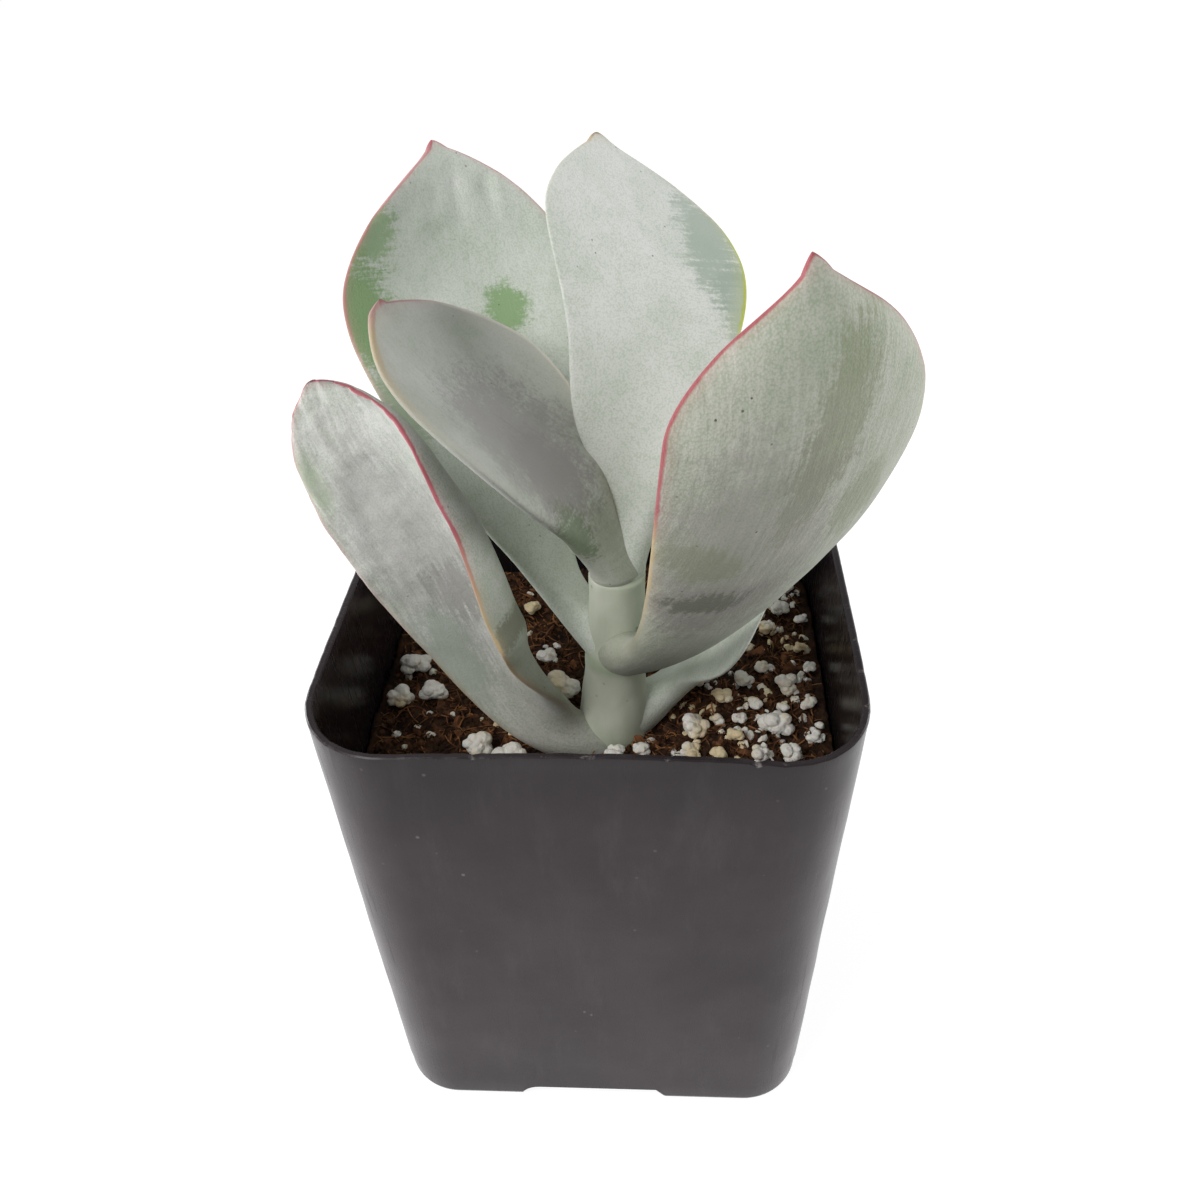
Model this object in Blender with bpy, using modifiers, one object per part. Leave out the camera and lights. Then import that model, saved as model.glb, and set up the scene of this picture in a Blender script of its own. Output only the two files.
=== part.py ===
"""A young succulent with six thick paddle leaves, growing in a small square nursery pot.

The leaves stand in three crossed pairs on one short stem, the stem is rooted in potting soil, and grains of
perlite lie on the soil. Lengths are metres, +Z is up. The shapes are worked out about the middle of the pot,
and a parent empty then moves them so that the origin lies under the middle of the whole plant.
"""

import math
from collections import namedtuple

import bmesh
import bpy
import numpy as np
from mathutils import Matrix, Vector

MM = 0.001

# Pot: a thin moulded shell that tapers to its foot
POT_TOP_WIDTH = 57.0 * MM
POT_BOTTOM_WIDTH = 49.5 * MM
POT_HEIGHT = 60.5 * MM
POT_WALL = 0.8 * MM
POT_TOP_CORNER = 10.0 * MM
POT_BOTTOM_CORNER = 7.0 * MM
POT_FOOT_ROUNDING = 1.2 * MM
CORNER_STEPS = 8
SIDE_STEPS = 8
ROUNDING_STEPS = 4

# Foot: four hollow corner pads with a raised channel between each two
CHANNEL_WIDTH = 16.0 * MM
CHANNEL_HEIGHT = 2.2 * MM
PAD_INNER_ROUNDING = 3.0 * MM
DRAIN_DIAMETER = 6.0 * MM
DRAIN_FROM_CENTRE = 13.0 * MM
DRAIN_SIDES = 20

# Rim: the soft wall stands a little uneven, lowest at its two front corners
RIM_DIPS = (
    # toward X, toward Y, how deep, how wide
    (1, -1, 1.0 * MM, 9.0 * MM),
    (-1, -1, 0.5 * MM, 9.0 * MM),
    (0, -1, -0.2 * MM, 8.0 * MM),
)

# A round corner's outermost point lies this share of its radius in from each side
CORNER_CUT = 1 - math.sqrt(0.5)

# Soil: fills the pot to below the rim and rises toward +X
SOIL_DEPTH_BELOW_RIM = 14.2 * MM
SOIL_TILT = 0.06
SOIL_LUMP = 0.35 * MM
SOIL_LUMP_SPACING = 9.0 * MM
SOIL_RINGS = 8
CLEARANCE = 0.3 * MM

# Stem: one upright shoot, a little off the middle of the pot
STEM_FOOT = Vector((2.2, -7.0, 0.0)) * MM
STEM_LEAN = Vector((0.8, 0.0, 21.5)) * MM
STEM_ROOT_DEPTH = 12.0 * MM
STEM_FOOT_RADIUS = 3.6 * MM
STEM_TOP_RADIUS = 2.8 * MM
STEM_POINTS = 12
STEM_CROWN = 1.2 * MM
# The crown rounds over: shares of its height, and of the stem's radius there
CROWN_STEPS = ((0.7, 0.8), (1.0, 0.3))

# Leaves
LEAF_STATIONS = 18
LEAF_ACROSS = 9
BLADE_THICKNESS = 2.0 * MM
PETIOLE_THICKNESS = 3.2 * MM
PETIOLE_THINS_BY = 0.45
LAST_STATION = 1 - 0.35 / LEAF_STATIONS
SOCKET_LENGTH_SHARE = 0.55
SOCKET_STEPS = 9

Leaf = namedtuple(
    "Leaf",
    "base length rise heading roll half_width petiole petiole_end widest tip left_cup right_cup",
)

# base: where the leaf leaves the stem, mm from the stem's foot at the level of the soil.
# rise, heading, roll: degrees at even steps from base to tip: above level, round from +X, and about the midrib.
# Pairs are (left, right), seen from the upper face with the tip ahead.
# half_width: mm. petiole: the stalk's share of that width, up to petiole_end.
# widest and tip: where each side of the blade is widest, and how it closes, from 0.5, round, to 1, pointed.
# left_cup, right_cup: how far each half turns up toward the upper face, in degrees.
LEAVES = {
    "leaf_lower_left": Leaf(
        base=(-1.2, -2.9, -2.1), length=53.5,
        rise=(22, 58, 65, 54, 77), heading=(199, 158, 160, 166, 150), roll=(-36, -74, -73, -72),
        half_width=(8.4, 16.0), petiole=0.19, petiole_end=0.03,
        widest=(0.57, 0.57), tip=(0.38, 0.41),
        left_cup=(20, 9, -2), right_cup=(32, 87, 115, 103, 50),
    ),
    "leaf_lower_back": Leaf(
        base=(2.7, 2.3, 0.9), length=43.3,
        rise=(15, 78, 65, 74), heading=(17, 32, 37, 46), roll=(-40, -10, -5),
        half_width=(12.0, 14.7), petiole=0.23, petiole_end=0.01,
        widest=(0.6, 0.45), tip=(0.6, 0.6),
        left_cup=(14, 26, 20), right_cup=(15, 27, 21),
    ),
    "leaf_middle_back": Leaf(
        base=(-1.5, 1.2, 11.5), length=56.8,
        rise=(46, 56, 59, 74), heading=(156, 128, 112, 123), roll=(2, 2, 10),
        half_width=(14.2, 14.6), petiole=0.17, petiole_end=0.06,
        widest=(0.7, 0.62), tip=(0.99, 0.71),
        left_cup=(12, 28, 28), right_cup=(12, 28, 23),
    ),
    "leaf_middle_right": Leaf(
        base=(1.6, -1.6, 11.0), length=60.5,
        rise=(35, 52, 71, 105), heading=(-71, -51, -44, -49), roll=(-22, -16, -17),
        half_width=(15.8, 11.3), petiole=0.18, petiole_end=0.04,
        widest=(0.66, 0.76), tip=(0.95, 1.15),
        left_cup=(12, 25, 23), right_cup=(12, 27, 29),
    ),
    "leaf_upper_left": Leaf(
        base=(-0.6, -0.9, 21.6), length=36.5,
        rise=(85, 50, 46, 66), heading=(176, 180, 183, 172), roll=(-26, -7, -2),
        half_width=(13.1, 13.2), petiole=0.24, petiole_end=0.05,
        widest=(0.62, 0.6), tip=(0.65, 0.71),
        left_cup=(14, 25, 16), right_cup=(15, 24, 17),
    ),
    "leaf_upper_back": Leaf(
        base=(2.9, 2.5, 21.4), length=47.2,
        rise=(89, 62, 42, 50), heading=(43, 81, 103, 136), roll=(0, 18, 24),
        half_width=(12.7, 11.6), petiole=0.2, petiole_end=0.05,
        widest=(0.76, 0.74), tip=(0.63, 0.91),
        left_cup=(14, 27, 3), right_cup=(14, 20, -10),
    ),
}

# Perlite: x, y and width of each larger grain, in mm from the middle of the pot; the heap is at the +X side.
# The places spread with the soil, and are right as they stand when it is this wide from its middle.
PERLITE_SPREAD = 26.5 * MM
PERLITE = (
    (11.4, -9.0, 3.2), (17.2, -1.0, 2.5), (12.2, -0.2, 2.6), (7.8, 4.2, 2.0), (22.2, -2.2, 2.5),
    (19.6, 1.4, 1.6), (24.6, -5.4, 1.8), (14.6, -4.0, 2.4), (18.4, -5.6, 1.8), (20.6, -9.4, 3.2),
    (16.0, -10.6, 1.9), (16.6, -7.6, 1.5), (14.0, -7.2, 1.4), (11.0, -13.2, 2.2), (14.0, -13.6, 1.8),
    (18.4, -13.8, 2.0), (21.8, -13.9, 2.1), (24.6, -11.6, 1.7), (21.6, -5.8, 1.3), (20.8, 9.8, 1.9),
    (22.4, 13.2, 2.6), (25.2, 11.4, 1.8), (23.8, 18.2, 1.8), (24.4, 5.2, 1.5), (25.2, 1.4, 1.6),
    (2.4, -13.0, 2.4), (5.4, -12.6, 1.8), (-23.2, 4.8, 3.2), (-24.0, -1.8, 2.8), (-20.0, -1.0, 3.0),
    (-13.2, -11.4, 3.2), (-9.0, -13.6, 3.4), (-4.6, -1.6, 3.8), (-6.8, 5.6, 2.4), (-2.6, 9.6, 1.8),
    (-18.4, -17.6, 2.6), (-6.4, -20.2, 2.4), (5.6, -20.0, 2.8), (15.4, -20.4, 2.2), (22.2, -19.4, 2.6),
    (-20.4, 18.4, 2.8), (-9.6, 16.4, 2.2), (2.4, 19.8, 2.6), (12.6, 11.6, 2.4), (13.4, 21.0, 1.9),
)
PERLITE_HEIGHT_SHARE = 0.75
PERLITE_FLAT_FROM = -0.25
PERLITE_ROUGHNESS = 0.13

SOIL_LEVEL = POT_HEIGHT - SOIL_DEPTH_BELOW_RIM
FLOOR_TOP = CHANNEL_HEIGHT + POT_WALL


def clear_scene():
    for obj in list(bpy.data.objects):
        bpy.data.objects.remove(obj)


def collection(name):
    made = bpy.data.collections.new(name)
    bpy.context.scene.collection.children.link(made)
    return made


def material(name, colour, roughness, metallic=0.0):
    made = bpy.data.materials.new(name)
    made.use_nodes = True
    shader = made.node_tree.nodes["Principled BSDF"]
    shader.inputs["Base Color"].default_value = (*colour, 1.0)
    shader.inputs["Roughness"].default_value = roughness
    shader.inputs["Metallic"].default_value = metallic
    return made


def add_object(name, mesh, where, finish=None):
    obj = bpy.data.objects.new(name, mesh)
    where.objects.link(obj)
    if finish:
        mesh.materials.append(finish)
    return obj


def mesh_from(name, bm):
    """The mesh of this bmesh in flat triangles, smooth-shaded, with its normals facing out."""
    bmesh.ops.triangulate(bm, faces=bm.faces)
    bmesh.ops.recalc_face_normals(bm, faces=bm.faces)
    mesh = bpy.data.meshes.new(name)
    bm.to_mesh(mesh)
    bm.free()
    mesh.shade_smooth()
    mesh.set_sharp_from_angle(angle=math.radians(40))
    return mesh


def hide_cutter(obj):
    obj.hide_render = True
    obj.display_type = "WIRE"
    return obj


def cut(target, cutter):
    boolean = target.modifiers.new(f"cut by {cutter.name}", "BOOLEAN")
    boolean.operation = "DIFFERENCE"
    boolean.object = cutter


def loft(rings):
    """A closed bmesh skinned over rings of equal length; an end ring closes in a fan to its middle."""
    bm = bmesh.new()
    rings = list(rings)
    if len(rings[0]) > 1:
        rings.insert(0, [sum(rings[0], Vector()) / len(rings[0])])
    if len(rings[-1]) > 1:
        rings.append([sum(rings[-1], Vector()) / len(rings[-1])])
    levels = [[bm.verts.new(point) for point in ring] for ring in rings]
    for low, high in zip(levels, levels[1:]):
        for i in range(max(len(low), len(high))):
            here, after = i, i + 1
            corners = [low[here % len(low)], low[after % len(low)], high[after % len(high)], high[here % len(high)]]
            bm.faces.new(list(dict.fromkeys(corners)))
    return bm


# Pot


def square_ring(half, corner, height_at):
    """A closed ring: a square with round corners, with points along its sides so that it can wave."""
    points = []
    for quarter in range(4):
        turn = Matrix.Rotation(quarter * math.pi / 2, 3, "Z")
        middle = Vector((half - corner, half - corner, 0))
        for step in range(CORNER_STEPS + 1):
            angle = step / CORNER_STEPS * math.pi / 2
            points.append(turn @ (middle + corner * Vector((math.cos(angle), math.sin(angle), 0))))
        for step in range(1, SIDE_STEPS):
            along = 1 - 2 * step / SIDE_STEPS
            points.append(turn @ Vector((along * (half - corner), half, 0)))
    return [Vector((p.x, p.y, height_at(p))) for p in points]


def pot_half(z):
    """Half the pot's outer width at this height."""
    return (POT_BOTTOM_WIDTH + (POT_TOP_WIDTH - POT_BOTTOM_WIDTH) * z / POT_HEIGHT) / 2


def pot_corner(z):
    return POT_BOTTOM_CORNER + (POT_TOP_CORNER - POT_BOTTOM_CORNER) * z / POT_HEIGHT


def rim_height(point):
    """The height of the rim over this point: the wall's own waves taken off the full height."""
    lowered = 0.0
    for toward_x, toward_y, depth, width in RIM_DIPS:
        on_corner = abs(toward_x * toward_y)
        centre = Vector((toward_x, toward_y)) * (POT_TOP_WIDTH / 2 - CORNER_CUT * POT_TOP_CORNER * on_corner)
        lowered += depth * math.exp(-((point.xy - centre).length / width) ** 2)
    return POT_HEIGHT - lowered


def pot_ring(z, inset=0.0):
    return square_ring(pot_half(z) - inset, pot_corner(z) - inset, lambda _: z)


def box_cutter(name, low, high, where):
    """A box from its low to its high corner, for cutting."""
    bpy.ops.mesh.primitive_cube_add(size=1)
    box = bpy.context.object
    box.name = name
    box.data.transform(Matrix.Translation((low + high) / 2) @ Matrix.Diagonal((*(high - low), 1)))
    for owner in list(box.users_collection):
        owner.objects.unlink(box)
    where.objects.link(box)
    return hide_cutter(box)


def make_pot(parts, cutters, plastic):
    rounding = []
    for step in range(ROUNDING_STEPS + 1):
        angle = step / ROUNDING_STEPS * math.pi / 2
        z = POT_FOOT_ROUNDING * (1 - math.cos(angle))
        rounding.append(pot_ring(z, POT_FOOT_ROUNDING * (1 - math.sin(angle))))
    rim_out = square_ring(POT_TOP_WIDTH / 2, POT_TOP_CORNER, rim_height)
    rim_in = square_ring(POT_TOP_WIDTH / 2 - POT_WALL, POT_TOP_CORNER - POT_WALL, rim_height)
    inside = pot_ring(FLOOR_TOP, POT_WALL)
    shell = mesh_from("nursery_pot", loft([*rounding, rim_out, rim_in, inside]))
    pot = add_object("nursery_pot", shell, parts, plastic)

    reach = POT_TOP_WIDTH
    half_channel = CHANNEL_WIDTH / 2
    for name, along in (("channel_x", Vector((1, 0, 0))), ("channel_y", Vector((0, 1, 0)))):
        across = Vector((along.y, along.x, 0))
        low = -along * reach - across * half_channel - Vector((0, 0, CHANNEL_HEIGHT))
        high = along * reach + across * half_channel + Vector((0, 0, CHANNEL_HEIGHT))
        cut(pot, box_cutter(name, low, high, cutters))

    # The pads are hollow: a pocket over each keeps the wall even
    near = half_channel + POT_WALL
    far = pot_half(0) - POT_FOOT_ROUNDING - POT_WALL
    for x in (-1, 1):
        for y in (-1, 1):
            corners = [Vector((x * near, y * near, 0)), Vector((x * far, y * far, 0))]
            low = Vector((min(c.x for c in corners), min(c.y for c in corners), POT_WALL))
            high = Vector((max(c.x for c in corners), max(c.y for c in corners), FLOOR_TOP * 2))
            corner_name = f"{'left' if x < 0 else 'right'}_{'front' if y < 0 else 'back'}"
            pocket = box_cutter(f"pad_pocket_{corner_name}", low, high, cutters)
            bevel = pocket.modifiers.new("round corners", "BEVEL")
            bevel.width = PAD_INNER_ROUNDING
            bevel.segments = 3
            bevel.limit_method = "ANGLE"
            bevel.affect = "EDGES"
            cut(pot, pocket)

    for number, (x, y) in enumerate(((1, 0), (0, 1), (-1, 0), (0, -1)), 1):
        bpy.ops.mesh.primitive_cylinder_add(vertices=DRAIN_SIDES, radius=DRAIN_DIAMETER / 2, depth=FLOOR_TOP * 4)
        drain = bpy.context.object
        drain.name = f"drain_{number}"
        drain.data.transform(Matrix.Translation((x * DRAIN_FROM_CENTRE, y * DRAIN_FROM_CENTRE, 0)))
        for owner in list(drain.users_collection):
            owner.objects.unlink(drain)
        cutters.objects.link(drain)
        cut(pot, hide_cutter(drain))
    return pot


# Stem


def stem_point(z):
    """The middle of the stem at this height."""
    share = (z - SOIL_LEVEL) / STEM_LEAN.z
    return Vector((STEM_FOOT.x + STEM_LEAN.x * share, STEM_FOOT.y + STEM_LEAN.y * share, z))


def stem_radius(z):
    share = min(1.0, max(0.0, (z - SOIL_LEVEL) / (STEM_LEAN.z * 0.6)))
    return STEM_FOOT_RADIUS + (STEM_TOP_RADIUS - STEM_FOOT_RADIUS) * share


def stem_mesh(name, grow=0.0):
    """The stem as a mesh with welded caps, thicker all round by grow."""
    low = SOIL_LEVEL - STEM_ROOT_DEPTH - grow
    high = SOIL_LEVEL + STEM_LEAN.z + grow
    heights = [low + (high - low) * i / (STEM_POINTS - 1) for i in range(STEM_POINTS)]
    curve = bpy.data.curves.new(name, "CURVE")
    curve.dimensions = "3D"
    curve.bevel_depth = 1.0
    curve.bevel_resolution = 4
    curve.use_fill_caps = True
    spline = curve.splines.new("POLY")
    radii = [stem_radius(z) + grow for z in heights]
    for height_share, radius_share in CROWN_STEPS:
        heights.append(high + STEM_CROWN * height_share)
        radii.append(radii[STEM_POINTS - 1] * radius_share)
    spline.points.add(len(heights) - 1)
    for point, z, radius in zip(spline.points, heights, radii):
        point.co = (*stem_point(z), 1.0)
        point.radius = radius
    obj = bpy.data.objects.new(name + "_curve", curve)
    bpy.context.scene.collection.objects.link(obj)
    bpy.context.view_layer.update()
    mesh = bpy.data.meshes.new_from_object(obj.evaluated_get(bpy.context.evaluated_depsgraph_get()))
    bpy.data.objects.remove(obj)
    bm = bmesh.new()
    bm.from_mesh(mesh)
    bmesh.ops.remove_doubles(bm, verts=bm.verts, dist=0.01 * MM)
    bpy.data.meshes.remove(mesh)
    return mesh_from(name, bm)


# Leaves


def spread(values, u):
    """A smooth curve through evenly spaced values, read at the shares u from 0 to 1."""
    values = np.asarray(values, float)
    last = len(values) - 1
    place = np.clip(np.asarray(u, float) * last, 0, last - 1e-9)
    i = place.astype(int)
    f = place - i
    here = values[i]
    after = values[i + 1]
    before = np.where(i == 0, 2 * here - after, values[np.maximum(i - 1, 0)])
    beyond = np.where(i + 2 > last, 2 * after - here, values[np.minimum(i + 2, last)])
    return 0.5 * (
        2 * here
        + (after - before) * f
        + (2 * before - 5 * here + 4 * after - beyond) * f**2
        + (3 * here - before - 3 * after + beyond) * f**3
    )


def smoothstep(x):
    x = np.clip(x, 0, 1)
    return x * x * (3 - 2 * x)


def leaf_width(leaf, side, u):
    """The half width at u on side 0, left, or 1, right: stalk, swelling blade, closing end."""
    widest = leaf.widest[side]
    swell = smoothstep((u - leaf.petiole_end) / (widest - leaf.petiole_end))
    swelling = leaf.petiole + (1 - leaf.petiole) * swell
    closing = (1 - np.clip((u - widest) / (1 - widest), 0, 1) ** 2) ** leaf.tip[side]
    return leaf.half_width[side] * MM * np.where(u < widest, swelling, closing)


def leaf_thickness(u):
    thinning = 1 - smoothstep(u / PETIOLE_THINS_BY)
    return (BLADE_THICKNESS + (PETIOLE_THICKNESS - BLADE_THICKNESS) * thinning) * np.sqrt(1 - u**8)


def leaf_rings(leaf, stations, grow=0.0):
    """Closed rings of points round the leaf at each station, base first."""
    fine = np.linspace(0, 1, 8 * LEAF_STATIONS + 1)
    rise = np.radians(spread(leaf.rise, fine))
    heading = np.radians(spread(leaf.heading, fine))
    ahead = np.stack([np.cos(rise) * np.cos(heading), np.cos(rise) * np.sin(heading), np.sin(rise)], 1)
    steps = (ahead[1:] + ahead[:-1]) / 2 * leaf.length * MM / (len(fine) - 1)
    base = STEM_FOOT + Vector((0, 0, SOIL_LEVEL)) + Vector(leaf.base) * MM
    spine = np.concatenate([np.zeros((1, 3)), np.cumsum(steps, 0)]) + np.array(base)
    level = np.stack([-np.sin(heading), np.cos(heading), np.zeros(len(fine))], 1)
    rings = []
    for u in stations:
        k = int(round(u * (len(fine) - 1)))
        roll = math.radians(float(spread(leaf.roll, u)))
        face = np.cross(ahead[k], level[k])
        side = level[k] * math.cos(roll) + face * math.sin(roll)
        up = face * math.cos(roll) - level[k] * math.sin(roll)
        widths = [float(leaf_width(leaf, side_number, u)) + grow for side_number in (0, 1)]
        thick = float(leaf_thickness(u)) / 2 + grow
        upper = []
        lower = []
        for v in np.sin(np.linspace(-math.pi / 2, math.pi / 2, LEAF_ACROSS)):
            half = widths[0] if v > 0 else widths[1]
            cup = math.radians(float(spread(leaf.left_cup if v > 0 else leaf.right_cup, u)))
            turn = cup * abs(v)
            out = half * abs(v) * np.sinc(turn / math.pi)
            lift = half * abs(v) * (math.sin(turn / 2) * np.sinc(turn / 2 / math.pi))
            edge = math.copysign(1.0, v)
            point = spine[k] + side * out * edge + up * lift
            normal = up * math.cos(turn) - side * math.sin(turn) * edge
            swell = thick * math.sqrt(max(0.0, 1 - v**4))
            upper.append(point + normal * swell)
            lower.append(point - normal * swell)
        rings.append([Vector(p) for p in upper + lower[-2:0:-1]])
    return rings, Vector(spine[-1])


def leaf_mesh(name, leaf):
    stations = [*(i / LEAF_STATIONS for i in range(LEAF_STATIONS)), LAST_STATION]
    rings, tip = leaf_rings(leaf, stations)
    return mesh_from(name, loft([*rings, [tip]]))


def socket_mesh(name, leaf):
    """The foot of a leaf, larger all round by the clearance."""
    stations = [SOCKET_LENGTH_SHARE * i / SOCKET_STEPS for i in range(SOCKET_STEPS + 1)]
    rings, _ = leaf_rings(leaf, stations, CLEARANCE)
    back = (rings[0][0] - rings[1][0]).normalized() * CLEARANCE
    return mesh_from(name, loft([[p + back for p in rings[0]], *rings[1:]]))


# Soil and perlite


def soil_height(x, y):
    """The soil's surface at this point: tilted, and gently lumpy."""
    lumps = math.sin(x / SOIL_LUMP_SPACING * 2 * math.pi + 0.7) * math.sin(y / SOIL_LUMP_SPACING * 2 * math.pi)
    return SOIL_LEVEL + SOIL_TILT * x + SOIL_LUMP * lumps


def soil_half():
    """Half the width of the soil's surface, just inside the pot's wall."""
    return pot_half(SOIL_LEVEL) - POT_WALL - CLEARANCE - SOIL_TILT * POT_WALL


def make_soil(parts, finish):
    inset = POT_WALL + CLEARANCE
    floor = FLOOR_TOP + CLEARANCE
    half = soil_half()
    corner = pot_corner(SOIL_LEVEL) - inset
    rings = [pot_ring(floor, inset)]
    for step in range(SOIL_RINGS):
        share = 1 - step / SOIL_RINGS
        rings.append(square_ring(half * share, corner * share, lambda p: soil_height(p.x, p.y)))
    rings.append([Vector((0, 0, soil_height(0, 0)))])
    return add_object("potting_soil", mesh_from("potting_soil", loft(rings)), parts, finish)


def make_perlite(number, x, y, width, parts, finish):
    """One popped grain: a lump with a flattened underside, lying on the soil."""
    bm = bmesh.new()
    bmesh.ops.create_icosphere(bm, subdivisions=2, radius=0.5)
    random = np.random.default_rng(number)
    long_way = random.uniform(0.75, 1.0)
    turn = Matrix.Rotation(random.uniform(0, math.pi), 3, "Z")
    for vert in bm.verts:
        bump = 1 + random.uniform(-PERLITE_ROUGHNESS, PERLITE_ROUGHNESS)
        p = vert.co * bump
        p.y *= long_way
        p.z = max(p.z, PERLITE_FLAT_FROM) * PERLITE_HEIGHT_SHARE
        vert.co = turn @ p * width * MM
    lowest = min(vert.co.z for vert in bm.verts)
    radius = width * MM / 2
    around = [(x * MM + radius * i, y * MM + radius * j) for i in (-1, 0, 1) for j in (-1, 0, 1)]
    seat = max(soil_height(*point) for point in around) + CLEARANCE
    bmesh.ops.translate(bm, verts=bm.verts, vec=Vector((x * MM, y * MM, seat - lowest)))
    name = f"perlite_{number:02d}"
    return add_object(name, mesh_from(name, bm), parts, finish)


# Assembly


def centre_under(parts, cutters):
    """Parents every piece and cutter to an empty that brings the middle of the whole over the origin."""
    root = bpy.data.objects.new("plant_origin", None)
    parts.objects.link(root)
    bpy.context.view_layer.update()
    graph = bpy.context.evaluated_depsgraph_get()
    corners = []
    for obj in parts.objects:
        if obj != root:
            corners += [obj.matrix_world @ Vector(c) for c in obj.evaluated_get(graph).bound_box]
            obj.parent = root
    for obj in cutters.objects:
        obj.parent = root
    low = Vector([min(c[i] for c in corners) for i in range(3)])
    high = Vector([max(c[i] for c in corners) for i in range(3)])
    root.location = (-(low.x + high.x) / 2, -(low.y + high.y) / 2, -low.z)
    return root


def main():
    clear_scene()
    parts = collection("potted_succulent")
    cutters = collection("cutters")
    plastic = material("black_nursery_plastic", (0.035, 0.033, 0.034), 0.42)
    earth = material("potting_mix", (0.045, 0.022, 0.012), 0.95)
    bloom = material("powdery_leaf", (0.46, 0.55, 0.48), 0.7)
    bark = material("pale_stem", (0.42, 0.46, 0.36), 0.65)
    grain = material("perlite", (0.78, 0.76, 0.70), 0.85)

    make_pot(parts, cutters, plastic)
    soil = make_soil(parts, earth)
    add_object("stem", stem_mesh("stem"), parts, bark)
    socket = hide_cutter(add_object("stem_socket", stem_mesh("stem_socket", CLEARANCE), cutters))
    cut(soil, socket)
    for name, leaf in LEAVES.items():
        blade = add_object(name, leaf_mesh(name, leaf), parts, bloom)
        cut(blade, socket)
        if leaf.base[2] * MM < PETIOLE_THICKNESS:
            cut(soil, hide_cutter(add_object(name + "_socket", socket_mesh(name + "_socket", leaf), cutters)))
    spread_out = soil_half() / PERLITE_SPREAD
    for number, (x, y, width) in enumerate(PERLITE, 1):
        make_perlite(number, x * spread_out, y * spread_out, width, parts, grain)
    centre_under(parts, cutters)


main()
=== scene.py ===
# %% [markdown]
# # A young succulent in a square nursery pot
# The plant has three crossed pairs of thick paddle leaves on one short stem, rooted in potting mix that is
# strewn with perlite, in a thin moulded pot. The CAD model fixes every place and size, and this lesson gives
# each piece the surface of the real one. The leaves come first in effort: they are the subject, and their
# powdery bloom, rubbed patches and coloured margins are what makes such a plant look alive.

# %% Tools and the fixed frame
import math
import random
from collections import namedtuple

import bmesh
import bpy
import numpy as np
from mathutils import Matrix, Vector, noise


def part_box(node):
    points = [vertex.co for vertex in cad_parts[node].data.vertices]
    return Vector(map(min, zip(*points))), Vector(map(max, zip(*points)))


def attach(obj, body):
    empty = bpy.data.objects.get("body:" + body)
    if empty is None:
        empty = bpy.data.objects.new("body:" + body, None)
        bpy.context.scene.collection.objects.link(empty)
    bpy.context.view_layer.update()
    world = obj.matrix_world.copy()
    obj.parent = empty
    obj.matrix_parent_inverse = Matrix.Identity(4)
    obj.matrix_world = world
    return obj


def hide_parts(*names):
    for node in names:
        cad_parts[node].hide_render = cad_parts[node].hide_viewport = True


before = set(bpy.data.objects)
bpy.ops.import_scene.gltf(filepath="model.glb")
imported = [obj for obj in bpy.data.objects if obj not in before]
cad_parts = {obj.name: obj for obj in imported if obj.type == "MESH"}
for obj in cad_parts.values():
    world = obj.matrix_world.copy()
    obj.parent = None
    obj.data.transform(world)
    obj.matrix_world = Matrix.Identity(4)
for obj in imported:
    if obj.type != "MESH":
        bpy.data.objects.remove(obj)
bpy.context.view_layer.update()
MM = 0.001
BODY = "root"

pot_low, pot_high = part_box("nursery_pot")
POT_AXIS = Vector(((pot_low.x + pot_high.x) / 2, (pot_low.y + pot_high.y) / 2, 0.0))
print("pot axis", tuple(round(c, 5) for c in POT_AXIS), "pot size", tuple(round(c, 4) for c in pot_high - pot_low))

# %% [markdown]
# ## Camera, light and stage
# The plant is looked at from close by and from above, so near things are clearly larger than far ones, and a
# lens of moderate width is right. All places here are counted from the middle of the pot's foot. Light comes
# from a large soft window at the upper left front, the room is white, and two tall panels at the sides draw
# the pale reflections down the pot's round corners.


# %% Camera
def from_pot(x, y, z):
    """A point given in mm from the middle of the pot's foot, in the frame's metres."""
    return POT_AXIS + Vector((x, y, z)) * MM


CAMERA_AZIMUTH = math.radians(4.0)
CAMERA_ELEVATION = math.radians(34.46)
CAMERA_ROLL = math.radians(-2.05)
CAMERA_DISTANCE = 134.35 * MM
CAMERA_TARGET = from_pot(0.58, 0.0, 59.05)

stage_scene = bpy.context.scene
stage_scene.view_settings.view_transform = "Standard"
back = Vector((
    math.sin(CAMERA_AZIMUTH) * math.cos(CAMERA_ELEVATION),
    -math.cos(CAMERA_AZIMUTH) * math.cos(CAMERA_ELEVATION),
    math.sin(CAMERA_ELEVATION),
))
right = Vector((math.cos(CAMERA_AZIMUTH), math.sin(CAMERA_AZIMUTH), 0.0))
upright = Matrix((right, back.cross(right), back)).transposed()
lens = bpy.data.cameras.new("camera")
lens.lens = 35.18
lens.sensor_width = 36.0
lens.clip_start = 2 * MM
lens.clip_end = 20.0
camera = bpy.data.objects.new("camera", lens)
camera.matrix_world = Matrix.Translation(CAMERA_TARGET + back * CAMERA_DISTANCE) @ (
    upright @ Matrix.Rotation(CAMERA_ROLL, 3, "Z")
).to_4x4()
stage_scene.collection.objects.link(camera)
stage_scene.camera = camera


# %% Lights
def panel(name, place, size, power, colour=(1.0, 1.0, 1.0)):
    """A soft square light at a place in mm from the pot, turned toward the middle of the plant."""
    light = bpy.data.lights.new(name, "AREA")
    light.size = size
    light.energy = power
    light.color = colour
    obj = bpy.data.objects.new(name, light)
    obj.location = from_pot(*place)
    obj.rotation_euler = (obj.location - from_pot(0, 0, 55)).to_track_quat("Z", "Y").to_euler()
    stage_scene.collection.objects.link(obj)


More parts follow.
